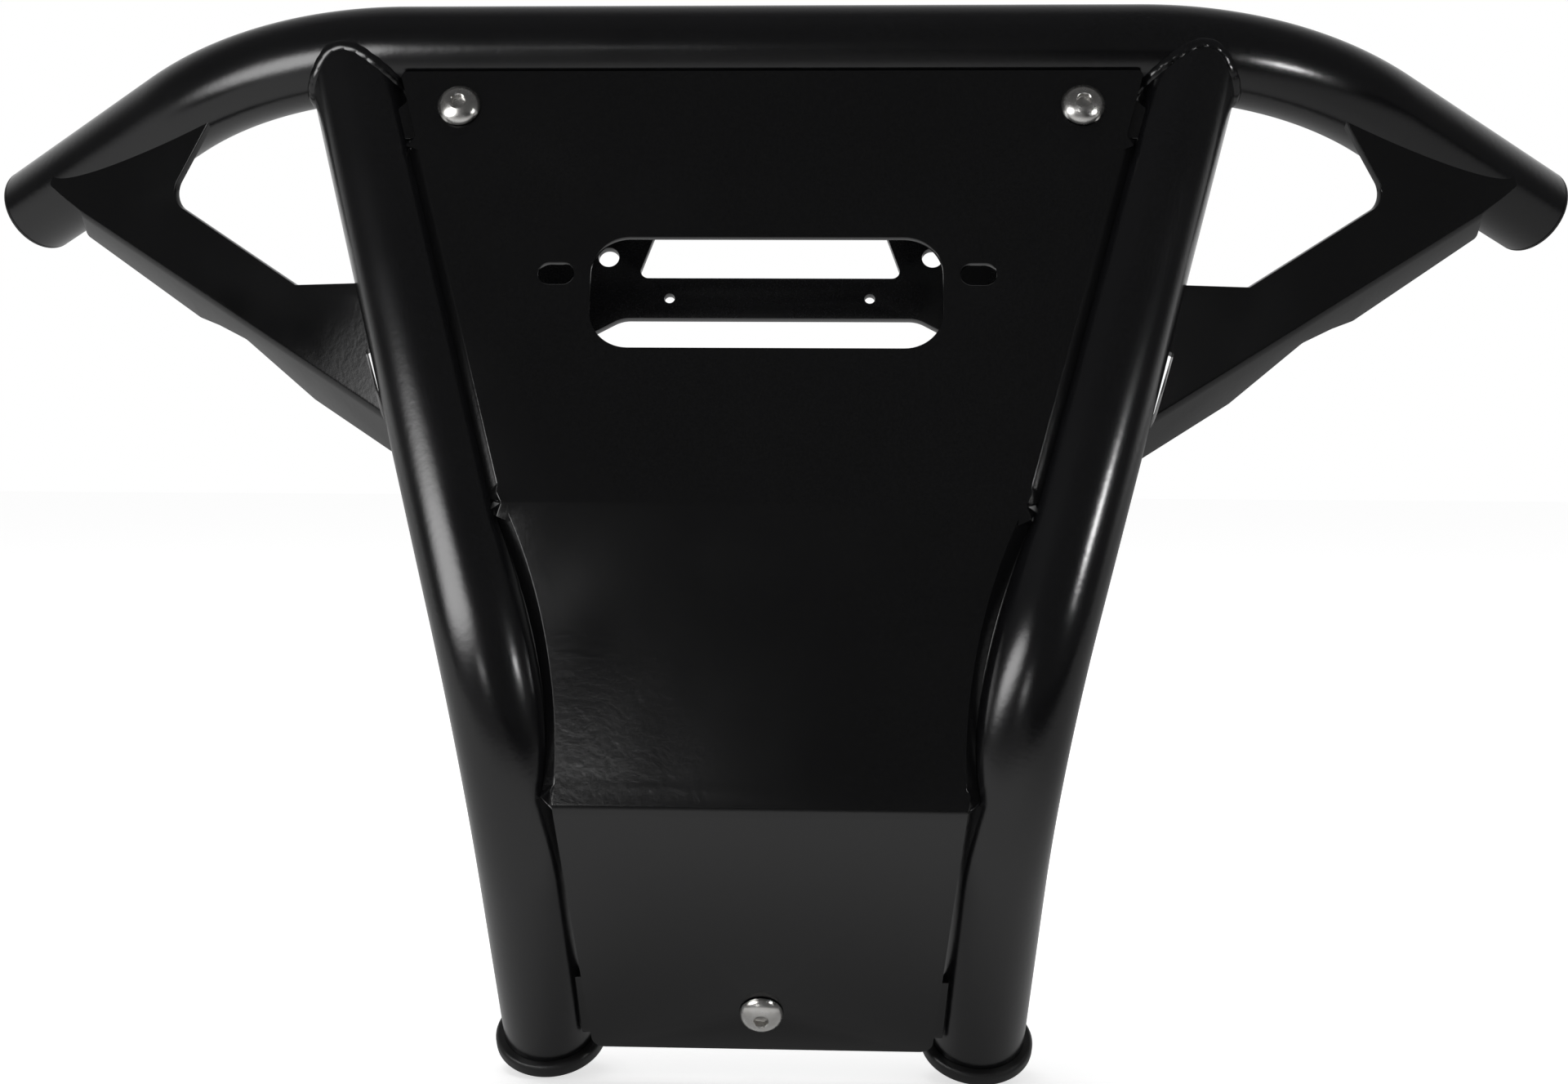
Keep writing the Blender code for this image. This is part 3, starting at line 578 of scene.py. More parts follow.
def facing_out(end, out):
    """A frame at an open end whose Z runs out of it."""
    return Matrix.Translation(end) @ out.to_track_quat("Z", "Y").to_matrix().to_4x4()


plug = [
    (bore - CAP_EDGE / 2, SEAT),
    (bore, SEAT - CAP_EDGE),
    (bore, -PLUG_DEPTH + CAP_EDGE),
    (bore - CAP_EDGE / 2, -PLUG_DEPTH),
    (bore - PLUG_WALL, -PLUG_DEPTH),
    (bore - PLUG_WALL, SEAT),
    (0, SEAT),
]
dome = []
crown = TUBE_R - CAP_EDGE
for step in range(3 * ROUND_STEPS):
    share = step / (3 * ROUND_STEPS)
    dome.append((crown * share, CAP_RISE - (CAP_RISE - 2 * CAP_EDGE) * share**2))
dome += quarter(crown, CAP_EDGE, CAP_EDGE, 90)
dome.append((TUBE_R, SEAT))
sole = [(0, SEAT + FOOT_RIM)]
sole += quarter(FOOT_RIM_R - FOOT_EDGE, SEAT + FOOT_RIM - FOOT_EDGE, FOOT_EDGE, 90)
sole += quarter(FOOT_RIM_R - FOOT_EDGE, SEAT + FOOT_EDGE, FOOT_EDGE, 0)
hollow = plug[:-2] + [(bore - PLUG_WALL, SEAT + PLUG_WALL), (0, SEAT + PLUG_WALL)]

for name, side in SIDES:
    mirror = Vector((side, 1, 1))
    end = top_end * mirror
    out = (top_end - top_corner).normalized() * mirror
    domed = turned(dome + plug, plug_plastic)
    cap = add_piece(f"{name}_top_cap_finished", domed, BAR @ facing_out(end, out))
    shade(cap)
    stand_for(cap, "plug", f"{name}_top_cap")
    _, knee, end = upright_corners(side)
    seat = facing_out(end, (end - knee).normalized())
    cap = add_piece(f"{name}_foot_cap_finished", turned(sole + hollow, plug_plastic), RIG @ seat)
    shade(cap)
    stand_for(cap, "plug", f"{name}_foot_cap")


# Wings. Laser-cut steel sheet, 3 mm, from each end of the top tube to its upright. The lower edge
# is folded back to a flange with a notch, and a slit runs beside the upright.
WING = 0.003
WING_FRONT = 0.0106
WING_TURN = math.radians(28.9)
WING_LEAN = math.radians(4.3)
WING_TIP = (-0.0560, 0.0190)
WING_CHIN = (-0.0590, 0.0268)
WING_HEEL = (-0.0406, 0.0389)
WING_HEAD = (0.0278, 0.0041)
WING_CROOK = (0.0066, 0.0351)
WING_SILL = (0.0735, 0.0701)
WING_SILL_END = (0.1250, 0.0701)
WING_FOOT = (0.1132, 0.1163)
WING_REACH = 0.022
WING_CHIN_CORNER = 0.002
WING_CROOK_CORNER = 0.0075
WING_SILL_CORNER = 0.004
FLANGE_TURN = math.radians(42)
FLANGE_BEND_R = 0.005
FLANGE_TOE_WIDE = 0.0113
FLANGE_WIDE = 0.0148
FLANGE_FOOT_WIDE = 0.0176
FLANGE_NOTCH_WIDE = 0.0116
FLANGE_NECK_WIDE = 0.0091
FLANGE_TOE = 0.0005
NOTCH_START = 0.0705
NOTCH_FLOOR = 0.083
NOTCH_FLOOR_END = 0.0995
NOTCH_END = 0.137
FLANGE_CORNER = 0.006
FLANGE_TOE_CORNER = 0.002
SLIT_WIDE = 0.0020
SLIT_START = 0.1150
SLIT_END = 0.1420
PAST_HEAD = -0.1
PAST_WING = 0.9
CORNER_STEPS = 14
EDGE_ROUND = 0.0004
EDGE_STEPS = 3
LIP_TURN = math.radians(38)
LIP_BEND_R = 0.0008
SHEET_SMOOTH = math.radians(20)

# The same powder coat on the sheet metal, glossier than on the tubes and painted a little darker: the darker
# colour is painted shade on the flat sheets
sheet_coat = coated_steel("black_powder_coat_on_sheet", "#080809", "#101011", 0.16, 0.03)


def rounded(corners):
    """A closed outline from (x, y, radius) corners, each turned to an arc of its radius."""
    outline = []
    for i, (x, y, radius) in enumerate(corners):
        corner = Vector((x, y))
        before = (Vector(corners[i - 1][:2]) - corner).normalized()
        after = (Vector(corners[(i + 1) % len(corners)][:2]) - corner).normalized()
        if radius == 0:
            outline.append(corner)
            continue
        half = before.angle(after) / 2
        middle = corner + (before + after).normalized() * radius / math.sin(half)
        start = corner + before * radius / math.tan(half) - middle
        end = corner + after * radius / math.tan(half) - middle
        turn = start.angle_signed(end)
        for step in range(CORNER_STEPS + 1):
            outline.append(middle + Matrix.Rotation(-turn * step / CORNER_STEPS, 2) @ start)
    return outline


def lip_profile(width, levels, thickness):
    """The levels of an eased edge, with a lip of a width bent back before it."""
    bend = min(LIP_BEND_R, width / 2)
    turns = [LIP_TURN * step / EDGE_STEPS for step in range(EDGE_STEPS + 1)]
    centre = width + bend * math.tan(LIP_TURN / 2)
    start = [(centre - bend * math.sin(a), -bend * (1 - math.cos(a))) for a in turns]
    drop = width * math.tan(LIP_TURN)
    middle = [(inset, level - drop) for inset, level in levels]
    return start + middle + [(inset, level - thickness) for inset, level in reversed(start)]


def moved_in(loop, amounts):
    """A loop that runs with the metal on its left, moved into the metal by an amount at each point."""
    moved = []
    for i, (point, amount) in enumerate(zip(loop, amounts)):
        came = (point - loop[i - 1]).normalized()
        goes = (loop[(i + 1) % len(loop)] - point).normalized()
        one = Vector((-came.y, came.x))
        two = Vector((-goes.y, goes.x))
        moved.append(point + (one + two) * amount / (1 + one.dot(two)))
    return moved


def sheet_metal(loops, thickness, edge=EDGE_ROUND, lips=None):
    """A flat plate from an outline and its holes, front on Z = 0, with all its edges eased.

    Lips are the widths of a lip bent back along the outline, one for each of its points.
    """
    bm = bmesh.new()
    turns = [math.pi / 2 * step / EDGE_STEPS for step in range(EDGE_STEPS + 1)]
    levels = [(edge * (1 - math.sin(a)), -edge * (1 - math.cos(a))) for a in turns]
    levels += [(inset, -thickness - level) for inset, level in reversed(levels)]
    faces = [[], []]
    for number, loop in enumerate(loops):
        area = sum(a.cross(b) for a, b in zip(loop, loop[1:] + loop[:1]))
        if (area > 0) != (number == 0):
            loop = loop[::-1]
        if lips and number == 0:
            profiles = [lip_profile(width, levels, thickness) for width in lips]
        else:
            profiles = [levels] * len(loop)
        rings = []
        for ring in zip(*profiles):
            places = moved_in(loop, [inset for inset, _ in ring])
            rings.append([bm.verts.new((x, y, level)) for (x, y), (_, level) in zip(places, ring)])
        for one, two in zip(rings, rings[1:]):
            for k in range(len(loop)):
                bm.faces.new((one[k - 1], one[k], two[k], two[k - 1]))
        for rim, ring in zip(faces, (rings[0], rings[-1])):
            rim += [bm.edges.get((ring[k - 1], ring[k])) for k in range(len(ring))]
    for rim in faces:
        bmesh.ops.triangle_fill(bm, edges=rim, use_beauty=True, use_dissolve=False)
    bmesh.ops.recalc_face_normals(bm, faces=bm.faces[:])
    return bm


def fold(bm, point, outward, radius, turn, steps=14):
    """Folds what lies outward of the line through point: back for a positive turn, else forward."""
    point = Vector((*point, 0))
    outward = Vector((*outward, 0)).normalized()
    sense = math.copysign(1, turn)
    angle = abs(turn)
    arc = radius * angle
    beside = 0.0004
    lines = [arc * step / steps for step in range(steps + 1)]
    for where in [-beside, *lines, arc + beside]:
        bmesh.ops.bisect_plane(
            bm,
            geom=bm.verts[:] + bm.edges[:] + bm.faces[:],
            dist=1e-7,
            plane_co=point + outward * where,
            plane_no=outward,
        )
    for vert in bm.verts:
        past = (vert.co - point).dot(outward)
        if past <= 1e-7:
            continue
        rest = max(past - arc, 0)
        swung = min(past, arc) / radius
        lift = vert.co.z
        along = radius * math.sin(swung) + rest * math.cos(angle)
        fall = radius * (1 - math.cos(swung)) + rest * math.sin(angle)
        along += sense * lift * math.sin(swung)
        vert.co += outward * (along - past)
        vert.co.z = lift * math.cos(swung) - sense * fall


def as_mesh(bm, material):
    mesh = bpy.data.meshes.new("sheet")
    bm.to_mesh(mesh)
    bm.free()
    mesh.materials.append(material)
    return mesh


def upright_bar(side, extra, start, end):
    """A bar along an upright's upper run, wider than the tube by extra, from share start to end."""
    head, knee, _ = upright_corners(side)
    return round_bar([head.lerp(knee, start), head.lerp(knee, end)], TUBE_R + extra)


def wing_frame(side):
    """The wing's own frame: X is level, Z points out of the front, and both start at the tube's bend."""
    along = Vector((math.cos(WING_TURN), side * math.sin(WING_TURN), 0))
    ahead = Vector((along.y, -along.x, 0))
    front = ahead * math.cos(WING_LEAN) + Vector((0, 0, math.sin(WING_LEAN)))
    turn = Matrix((along, front.cross(along), front)).transposed().to_4x4()
    bend_end = top_end - TOP_END * (top_end - top_corner).normalized()
    start = RIG.inverted() @ BAR @ Vector((side * bend_end.x, bend_end.y, 0))
    return Matrix.Translation(start + front * WING_FRONT) @ turn


heel = Vector(WING_HEEL)
lower_edge = Vector(WING_FOOT) - heel
along_fold = lower_edge.normalized()
beyond_fold = Vector((-along_fold.y, along_fold.x))


def by_fold(along, wide, corner):
    point = heel + along_fold * along + beyond_fold * wide
    return (point.x, point.y, corner)


wing_corners = [
    (*WING_TIP, 0),
    (*WING_CHIN, WING_CHIN_CORNER),
    (*WING_HEEL, 0),
    by_fold(FLANGE_TOE, FLANGE_TOE_WIDE, FLANGE_TOE_CORNER),
    by_fold(NOTCH_START, FLANGE_WIDE, FLANGE_CORNER),
    by_fold(NOTCH_FLOOR, FLANGE_NOTCH_WIDE, FLANGE_CORNER),
    by_fold(NOTCH_FLOOR_END, FLANGE_NECK_WIDE, FLANGE_CORNER),
    by_fold(NOTCH_END, FLANGE_FOOT_WIDE, FLANGE_CORNER),
    by_fold(lower_edge.length + WING_REACH, FLANGE_FOOT_WIDE, 0),
    (*WING_SILL_END, 0),
    (*WING_SILL, WING_SILL_CORNER),
    (*WING_CROOK, WING_CROOK_CORNER),
    (*WING_HEAD, 0),
]
hinge = heel - beyond_fold * FLANGE_BEND_R * math.tan(FLANGE_TURN / 2)
for name, side in SIDES:
    outline = [Vector((-side * x, -y)) for x, y in rounded(wing_corners)]
    bm = sheet_metal([outline], WING)
    hinge_point = (-side * hinge.x, -hinge.y)
    fold(bm, hinge_point, (-side * beyond_fold.x, -beyond_fold.y), FLANGE_BEND_R, FLANGE_TURN)
    wing = add_piece(f"{name}_wing_finished", as_mesh(bm, sheet_coat), RIG @ wing_frame(side))
    cut(wing, round_bar(top_corners, TUBE_R - SEAT, TOP_BEND_R), BAR)
    cut(wing, upright_bar(side, -SEAT, PAST_HEAD, PAST_WING), RIG)
    cut(wing, upright_bar(side, SLIT_WIDE, SLIT_START / KNEE_DOWN, SLIT_END / KNEE_DOWN), RIG)
    settle(wing)
    shade(wing, SHEET_SMOOTH)
    stand_for(wing, "sheet_coat", f"{name}_wing")


# Face sheet. Steel, 2.5 mm, laser cut flat with its cable opening, two slots and three screw holes,
# then pressed to two folds that follow the uprights.
SHEET = 0.0025
SHEET_FRONT = 0.0142
SHEET_INSET = 0.0172
SHEET_UPPER = 0.1838
SHEET_MIDDLE = 0.1076
SHEET_LOWER = 0.1129
SHEET_MIDDLE_LEAN = math.radians(11.95)
SHEET_BEND_R = 0.006
SHEET_WAIST = 0.0667
SHEET_WAIST_R = 0.060
SHEET_SIDE_R = 0.205
SHEET_KNEE_HALF = 0.0712
SHEET_FOOT_HALF = 0.0624
SHEET_TOP_CORNER = 0.002
SHEET_FOOT_CORNER = 0.005
LIP_STEP = 0.003
LIP_LEAST = 0.00004
LIP_REACH = 0.0060
LIP_DOWN = 0.0410
OPENING_HALF = 0.0635
OPENING_TOP = 0.0819
OPENING_HIGH = 0.0430
OPENING_CORNER = 0.014
SLOT_X = OPENING_HALF + 0.0127
SLOT_DOWN = 0.0962
SLOT_LONG = 0.0130
SLOT_HIGH = 0.0084
TOP_SCREW_X = 0.1150
TOP_SCREW_DOWN = 0.0287
FOOT_SCREW_UP = 0.0181
SCREW_HOLE_R = 0.0043
HOLE_SIDES = 48
UPPER_FOLD = LEAN - SHEET_MIDDLE_LEAN
LOWER_FOLD = SHEET_MIDDLE_LEAN + SWEEP


def upright_x(down):
    """How far out an upright's axis is, at a distance down its upper run."""
    return HEAD_X + (KNEE_X - HEAD_X) * down / KNEE_DOWN


def circle(x, y, radius, sides=HOLE_SIDES):
    turns = [2 * math.pi * i / sides for i in range(sides)]
    return [Vector((x + radius * math.cos(a), y + radius * math.sin(a))) for a in turns]


def slot(x, y, length, height):
    half = length / 2
    end = height / 2 - 1e-6
    return rounded(
        [
            (x - half, y - height / 2, end),
            (x + half, y - height / 2, end),
            (x + half, y + height / 2, end),
            (x - half, y + height / 2, end),
        ]
    )


def mirrored(corners):
    """Corners on the right, and after them their likes on the left."""
    return corners + [(-x, *rest) for x, *rest in reversed(corners)]


tube_axis = UPPER.inverted() @ RIG.inverted() @ BAR.translation
sheet_depth = SHEET_FRONT - SHEET - tube_axis.z
top_down = math.sqrt((TUBE_R + SEAT) ** 2 - sheet_depth**2) - tube_axis.y
knee_down = SHEET_UPPER + SHEET_MIDDLE
foot_down = knee_down + SHEET_LOWER
sheet_inset = SHEET_INSET / math.cos(math.atan((HEAD_X - KNEE_X) / KNEE_DOWN))
top_half = upright_x(top_down) - sheet_inset
fold_half = upright_x(SHEET_UPPER) - sheet_inset

waist_down = SHEET_UPPER + SHEET_WAIST
waist_half = upright_x(waist_down) - sheet_inset
corners = rounded(
    mirrored(
        [
            (top_half, -top_down, SHEET_TOP_CORNER),
            (upright_x(LIP_DOWN) - sheet_inset, -LIP_DOWN, 0),
            (upright_x(LIP_DOWN) - sheet_inset + LIP_REACH, -LIP_DOWN - LIP_REACH / 4, 0),
            (fold_half + LIP_REACH, -SHEET_UPPER + LIP_REACH / 2, 0),
            (fold_half, -SHEET_UPPER, 0),
            (fold_half + LIP_REACH, -SHEET_UPPER - LIP_REACH / 2, 0),
            (waist_half + LIP_REACH, -waist_down, SHEET_WAIST_R),
            (SHEET_KNEE_HALF + LIP_REACH, -knee_down + LIP_REACH, 0),
            (SHEET_KNEE_HALF, -knee_down, 0),
            (SHEET_FOOT_HALF, -foot_down, SHEET_FOOT_CORNER),
        ]
    )
)

# The sides are turned back to a narrow lip. Along the upper flat it is cut to the upright, and between
# the folds it follows an arc that bows in
chord = Vector((SHEET_KNEE_HALF - fold_half, -SHEET_MIDDLE))
bow = Vector((chord.y, -chord.x)).normalized()
arc_centre = Vector((fold_half, -SHEET_UPPER)) + chord / 2
arc_centre -= bow * math.sqrt(SHEET_SIDE_R**2 - chord.length_squared / 4)
outline = []
lips = []
for one, two in zip(corners, corners[1:] + corners[:1]):
    beside = -knee_down < (one.y + two.y) / 2 < -LIP_DOWN
    parts = max(1, round((two - one).length / LIP_STEP)) if beside else 1
    outline += [one.lerp(two, part / parts) for part in range(parts)]
for x, y in outline:
    if -SHEET_UPPER < y < -LIP_DOWN:
        lip = abs(x) - upright_x(-y) + sheet_inset
    elif -knee_down <= y <= -SHEET_UPPER:
        lip = abs(x) - arc_centre.x + math.sqrt(SHEET_SIDE_R**2 - (y - arc_centre.y) ** 2)
    else:
        lip = 0
    lips.append(max(lip, LIP_LEAST))
opening_foot = OPENING_TOP + OPENING_HIGH
opening = rounded(
    mirrored(
        [
            (OPENING_HALF, -OPENING_TOP, OPENING_CORNER),
            (OPENING_HALF, -opening_foot, OPENING_CORNER),
        ]
    )
)
loops = [outline, opening, circle(0, FOOT_SCREW_UP - foot_down, SCREW_HOLE_R)]
for side in (-1, 1):
    loops.append(slot(side * SLOT_X, -SLOT_DOWN, SLOT_LONG, SLOT_HIGH))
    loops.append(circle(side * TOP_SCREW_X, -TOP_SCREW_DOWN, SCREW_HOLE_R))
bm = sheet_metal(loops, SHEET, lips=lips)
for down, turn in ((knee_down, LOWER_FOLD), (SHEET_UPPER, UPPER_FOLD)):
    start = down - SHEET_BEND_R * math.tan(turn / 2)
    fold(bm, (0, -start), (0, -1), SHEET_BEND_R, turn)
front = RIG @ UPPER
face_sheet = add_piece(
    "face_sheet_finished",
    as_mesh(bm, sheet_coat),
    front @ Matrix.Translation((0, 0, SHEET_FRONT)),
)
for name, side in SIDES:
    cut(face_sheet, round_bar(upright_corners(side), TUBE_R + SEAT, KNEE_R), RIG)
settle(face_sheet)
shade(face_sheet, SHEET_SMOOTH)
stand_for(face_sheet, "sheet_coat", "face_sheet")


# Cross bracket. Steel, 4 mm, behind the opening: a web with a four-sided window, two bolt holes and
# two pin holes, and a flange folded forward to be welded to each upright.
BRACKET = 0.004
BRACKET_TOP = 0.0380
BRACKET_BOTTOM = 0.0928
BRACKET_BEND_R = 0.004
BRACKET_FOOT = 0.1120
BRACKET_FOOT_X = 0.0900
BRACKET_NECK_X = 0.0560
BRACKET_CORNER = 0.012
WINDOW_FOOT_X = 0.0506
WINDOW_HEAD_X = 0.0410
WINDOW_TOP = 0.0480
WINDOW_FOOT = 0.0762
WINDOW_CORNER = 0.003
BOLT_HOLE_X = 0.0619
BOLT_HOLE_DOWN = 0.0676
BOLT_HOLE_R = 0.00395
PIN_HOLE_X = 0.0381
PIN_HOLE_R = 0.00195

# The bracket's coat is the same black coat, painted lighter and greyer than the face sheet's as painted
# light on the bracket in its recess behind the opening, and a little duller
bracket_coat_painted_lighter = coated_steel("black_powder_coat_on_bracket", "#1a1a1c", "#262628", 0.26, 0.03)

slope = Vector((KNEE_X - HEAD_X, -KNEE_DOWN)).normalized()
flange_high = BRACKET_BACK - BRACKET - TUBE_R - SEAT
reach = BRACKET / 2 + BRACKET_BEND_R
flat_flange = flange_high + BRACKET_BEND_R * (math.pi / 2 - 1)
beyond = (flat_flange - reach) / abs(slope.y)
outline = rounded(
    mirrored(
        [
            (upright_x(BRACKET_TOP) + beyond, -BRACKET_TOP, 0),
            (upright_x(BRACKET_FOOT) + beyond, -BRACKET_FOOT, 0),
            (BRACKET_FOOT_X, -BRACKET_FOOT, BRACKET_CORNER),
            (BRACKET_NECK_X, -BRACKET_BOTTOM, BRACKET_CORNER),
        ]
    )
)
window = rounded(
    mirrored(
        [
            (WINDOW_HEAD_X, -WINDOW_TOP, WINDOW_CORNER),
            (WINDOW_FOOT_X, -WINDOW_FOOT, WINDOW_CORNER),
        ]
    )
)
loops = [outline, window]
for side in (-1, 1):
    loops.append(circle(side * BOLT_HOLE_X, -BOLT_HOLE_DOWN, BOLT_HOLE_R))
    loops.append(circle(side * PIN_HOLE_X, -BRACKET_MIDDLE, PIN_HOLE_R))
bm = sheet_metal(loops, BRACKET)
for side in (-1, 1):
    start = (side * (upright_x(0) - reach / abs(slope.y)), 0)
    fold(bm, start, (-slope.y * side, slope.x), BRACKET_BEND_R, -math.pi / 2)
web = Matrix.Translation((0, 0, BRACKET - BRACKET_BACK))
bracket = add_piece("cross_bracket_finished", as_mesh(bm, bracket_coat_painted_lighter), front @ web)
shade(bracket, SHEET_SMOOTH)
stand_for(bracket, "sheet_coat", "cross_bracket")


# Tabs and strap. Flat steel, 4 mm: a lug in each upper corner and a bar across the uprights below,
# behind the face sheet, which take its screws.
TAB = 0.004
TAB_HIGH = 0.0240
TAB_REACH = 0.0120
TAB_CORNER = 0.006
STRAP = 0.004
STRAP_HIGH = 0.0280
PAST_FOOT = 0.3

knee_point = UPPER @ Vector((0, -SHEET_UPPER, SHEET_FRONT))
middle_flat = UPPER @ Matrix.Rotation(UPPER_FOLD, 4, "X")
knee_point += middle_flat.to_3x3() @ Vector((0, -SHEET_MIDDLE, 0))
lower_turn = middle_flat @ Matrix.Rotation(LOWER_FOLD, 4, "X")
lower_front = RIG @ Matrix.Translation(knee_point) @ lower_turn

low = TOP_SCREW_DOWN + TAB_HIGH / 2
inner = TOP_SCREW_X - TAB_REACH
outer = upright_x(TOP_SCREW_DOWN) - TUBE_R / 2
relief = upright_x(TOP_SCREW_DOWN) - 2 * TUBE_R - 2 * BEAD_R
behind_sheet = Matrix.Translation((0, 0, SHEET_FRONT - SHEET - SEAT))
for name, side in SIDES:
    outline = rounded(
        [
            (side * inner, 0, 0),
            (side * inner, -low, TAB_CORNER),
            (side * outer, -low, 0),
            (side * outer, relief - outer, 0),
            (side * relief, 0, 0),
        ]
    )
    bm = sheet_metal([outline, circle(side * TOP_SCREW_X, -TOP_SCREW_DOWN, SCREW_HOLE_R)], TAB)
    tab = add_piece(f"{name}_tab_finished", as_mesh(bm, sheet_coat), front @ behind_sheet)
    cut(tab, round_bar(top_corners, TUBE_R - SEAT, TOP_BEND_R), BAR)
    cut(tab, upright_bar(side, -SEAT, PAST_HEAD, 1.0), RIG)
    settle(tab)
    shade(tab, SHEET_SMOOTH)
    stand_for(tab, "coat", f"{name}_tab")

middle = FOOT_SCREW_UP - SHEET_LOWER
outline = rounded(
    mirrored(
        [
            (KNEE_X, middle - STRAP_HIGH / 2, 0),
            (KNEE_X, middle + STRAP_HIGH / 2, 0),
        ]
    )
)
bm = sheet_metal([outline, circle(0, middle, SCREW_HOLE_R)], STRAP)
place = lower_front @ Matrix.Translation((0, 0, -SHEET - SEAT))
strap = add_piece("lower_strap_finished", as_mesh(bm, sheet_coat), place)
for name, side in SIDES:
    _, knee, end = upright_corners(side)
    cut(strap, round_bar([knee, end + (end - knee) * PAST_FOOT], TUBE_R - SEAT), RIG)
settle(strap)
shade(strap, SHEET_SMOOTH)
stand_for(strap, "coat", "lower_strap")


# Screws. Stainless steel button heads for an 8 mm thread, cold headed with a hexagon socket, rolled
# thread and a polished head, 16 mm across, that still has fine rings from turning.
SCREW_R = 0.0040
SCREW_LONG = 0.0175
SCREW_HEAD_R = 0.0080
SCREW_HEAD_HIGH = 0.0044
SCREW_LIP_R = 0.0035
SCREW_HEX = 0.0050
SCREW_HEX_DEEP = 0.0028
SCREW_EDGE = 0.0002
SCREW_DOME_STEPS = 20
THREAD_PITCH = 0.00125
THREAD_DEEP = 0.0006
THREAD_SIDES = 4
COIL_STEPS = 36
RING_PITCH = 0.00025
RIM_HIGH = 0.12
LEAD_IN = 0.0003
LEAD_DEEP = 0.0008

stainless, tree, shader = new_material("polished_stainless_steel")
shader.inputs["Metallic"].default_value = 1.0
place = add_node(tree, "ShaderNodeTexCoord").outputs["Object"]
# Rings 0.25 mm apart about each screw's own axis, whose distance is kept in the mesh
radius = add_node(tree, "ShaderNodeAttribute", attribute_name="ring").outputs["Fac"]
turns = add_node(tree, "ShaderNodeMath", {0: radius, 1: 2 * math.pi / RING_PITCH}, operation="MULTIPLY")
rings = add_node(tree, "ShaderNodeMath", {0: turns.outputs["Value"]}, operation="SINE")
smear = add_node(tree, "ShaderNodeTexNoise", {"Vector": place, "Scale": 1 / 0.002, "Detail": 3})
tint_between(tree, shader, smear, 0.3, 0.7, "#d2d0cc", "#dedddb")
gloss_between(tree, shader, smear, 0.24, 0.28)
bump = bumped(tree, rings.outputs["Value"], 0.000002, 0.5)
tree.links.new(bump.outputs["Normal"], shader.inputs["Normal"])

last = math.acos(SCREW_LIP_R / SCREW_HEAD_R)
neck = SCREW_R - THREAD_DEEP
profile = [
    (0, -SCREW_LONG),
    (neck - THREAD_DEEP, -SCREW_LONG),
    (neck, -SCREW_LONG + THREAD_DEEP),
    (neck, -0.5 * THREAD_PITCH),
    (SCREW_R, 0.0),
    (SCREW_R, SEAT),
    (SCREW_HEAD_R - SCREW_EDGE, SEAT),
    (SCREW_HEAD_R, SEAT + SCREW_EDGE),
]
for step in range(1, SCREW_DOME_STEPS + 1):
    a = last * (RIM_HIGH + (1 - RIM_HIGH) * step / SCREW_DOME_STEPS)
    height = SCREW_HEAD_HIGH * math.sin(a) / math.sin(last)
    profile.append((SCREW_HEAD_R * math.cos(a), height))
profile += [(SCREW_LIP_R - SCREW_EDGE / 2, SCREW_HEAD_HIGH + SCREW_EDGE / 4), (0, SCREW_HEAD_HIGH)]
head = add_piece("screw_head", turned(profile, stainless), Matrix.Identity(4))
hexagon = circle(0, 0, SCREW_HEX / math.sqrt(3), 6)
socket = as_mesh(sheet_metal([hexagon], 2 * SCREW_HEX_DEEP, SCREW_EDGE), stainless)
cut(head, socket, Matrix.Translation((0, 0, SCREW_HEAD_HIGH + SCREW_HEX_DEEP)))
mouth = SCREW_HEX / math.sqrt(3) + LEAD_IN
lead_in = [(0, -LEAD_DEEP), (SCREW_HEX / 2, -LEAD_IN), (mouth, LEAD_IN), (0, LEAD_IN)]
cut(head, turned(lead_in, stainless), Matrix.Translation((0, 0, SCREW_HEAD_HIGH)))
settle(head)
shade(head)

screw_tree, given = new_tree(
    "screws",
    {
        "Head": "Object",
        "Thread Radius": "Float",
        "Pitch": "Float",
        "Thread Depth": "Float",
        "Length": "Float",
        "Profile Sides": "Int",
        "Finish": "Material",
    },
)
head_part = add_node(
    screw_tree,
    "GeometryNodeObjectInfo",
    {"Object": given["Head"]},
    transform_space="ORIGINAL",
)
coils = add_node(
    screw_tree,
    "ShaderNodeMath",
    {0: given["Length"], 1: given["Pitch"]},
    operation="DIVIDE",
)
helix = add_node(
    screw_tree,
    "GeometryNodeCurveSpiral",
    {
        "Resolution": COIL_STEPS,
        "Rotations": coils.outputs["Value"],
        "Start Radius": given["Thread Radius"],
        "End Radius": given["Thread Radius"],
        "Height": given["Length"],
    },
)
ridge = add_node(
    screw_tree,
    "GeometryNodeCurvePrimitiveCircle",
    {"Resolution": given["Profile Sides"], "Radius": given["Thread Depth"]},
)
thread = add_node(
    screw_tree,
    "GeometryNodeCurveToMesh",
    {"Curve": helix.outputs["Curve"], "Profile Curve": ridge.outputs["Curve"], "Fill Caps": True},
)
drop = add_node(
    screw_tree,
    "ShaderNodeMath",
    {0: given["Length"], 1: -1.0, 2: -THREAD_DEEP},
    operation="MULTIPLY_ADD",
)
below = add_node(screw_tree, "ShaderNodeCombineXYZ", {"Z": drop.outputs["Value"]})
lowered = add_node(
    screw_tree,
    "GeometryNodeTransform",
    {"Geometry": thread.outputs["Mesh"], "Translation": below.outputs["Vector"]},
)
screw = add_node(screw_tree, "GeometryNodeJoinGeometry")
for part in (head_part, lowered):
    screw_tree.links.new(part.outputs["Geometry"], screw.inputs["Geometry"])
spot = add_node(screw_tree, "GeometryNodeInputPosition").outputs["Position"]
flat = add_node(
    screw_tree,
    "ShaderNodeVectorMath",
    {0: spot, 1: (1.0, 1.0, 0.0)},
    operation="MULTIPLY",
)
distance = add_node(
    screw_tree,
    "ShaderNodeVectorMath",
    {0: flat.outputs["Vector"]},
    operation="LENGTH",
)
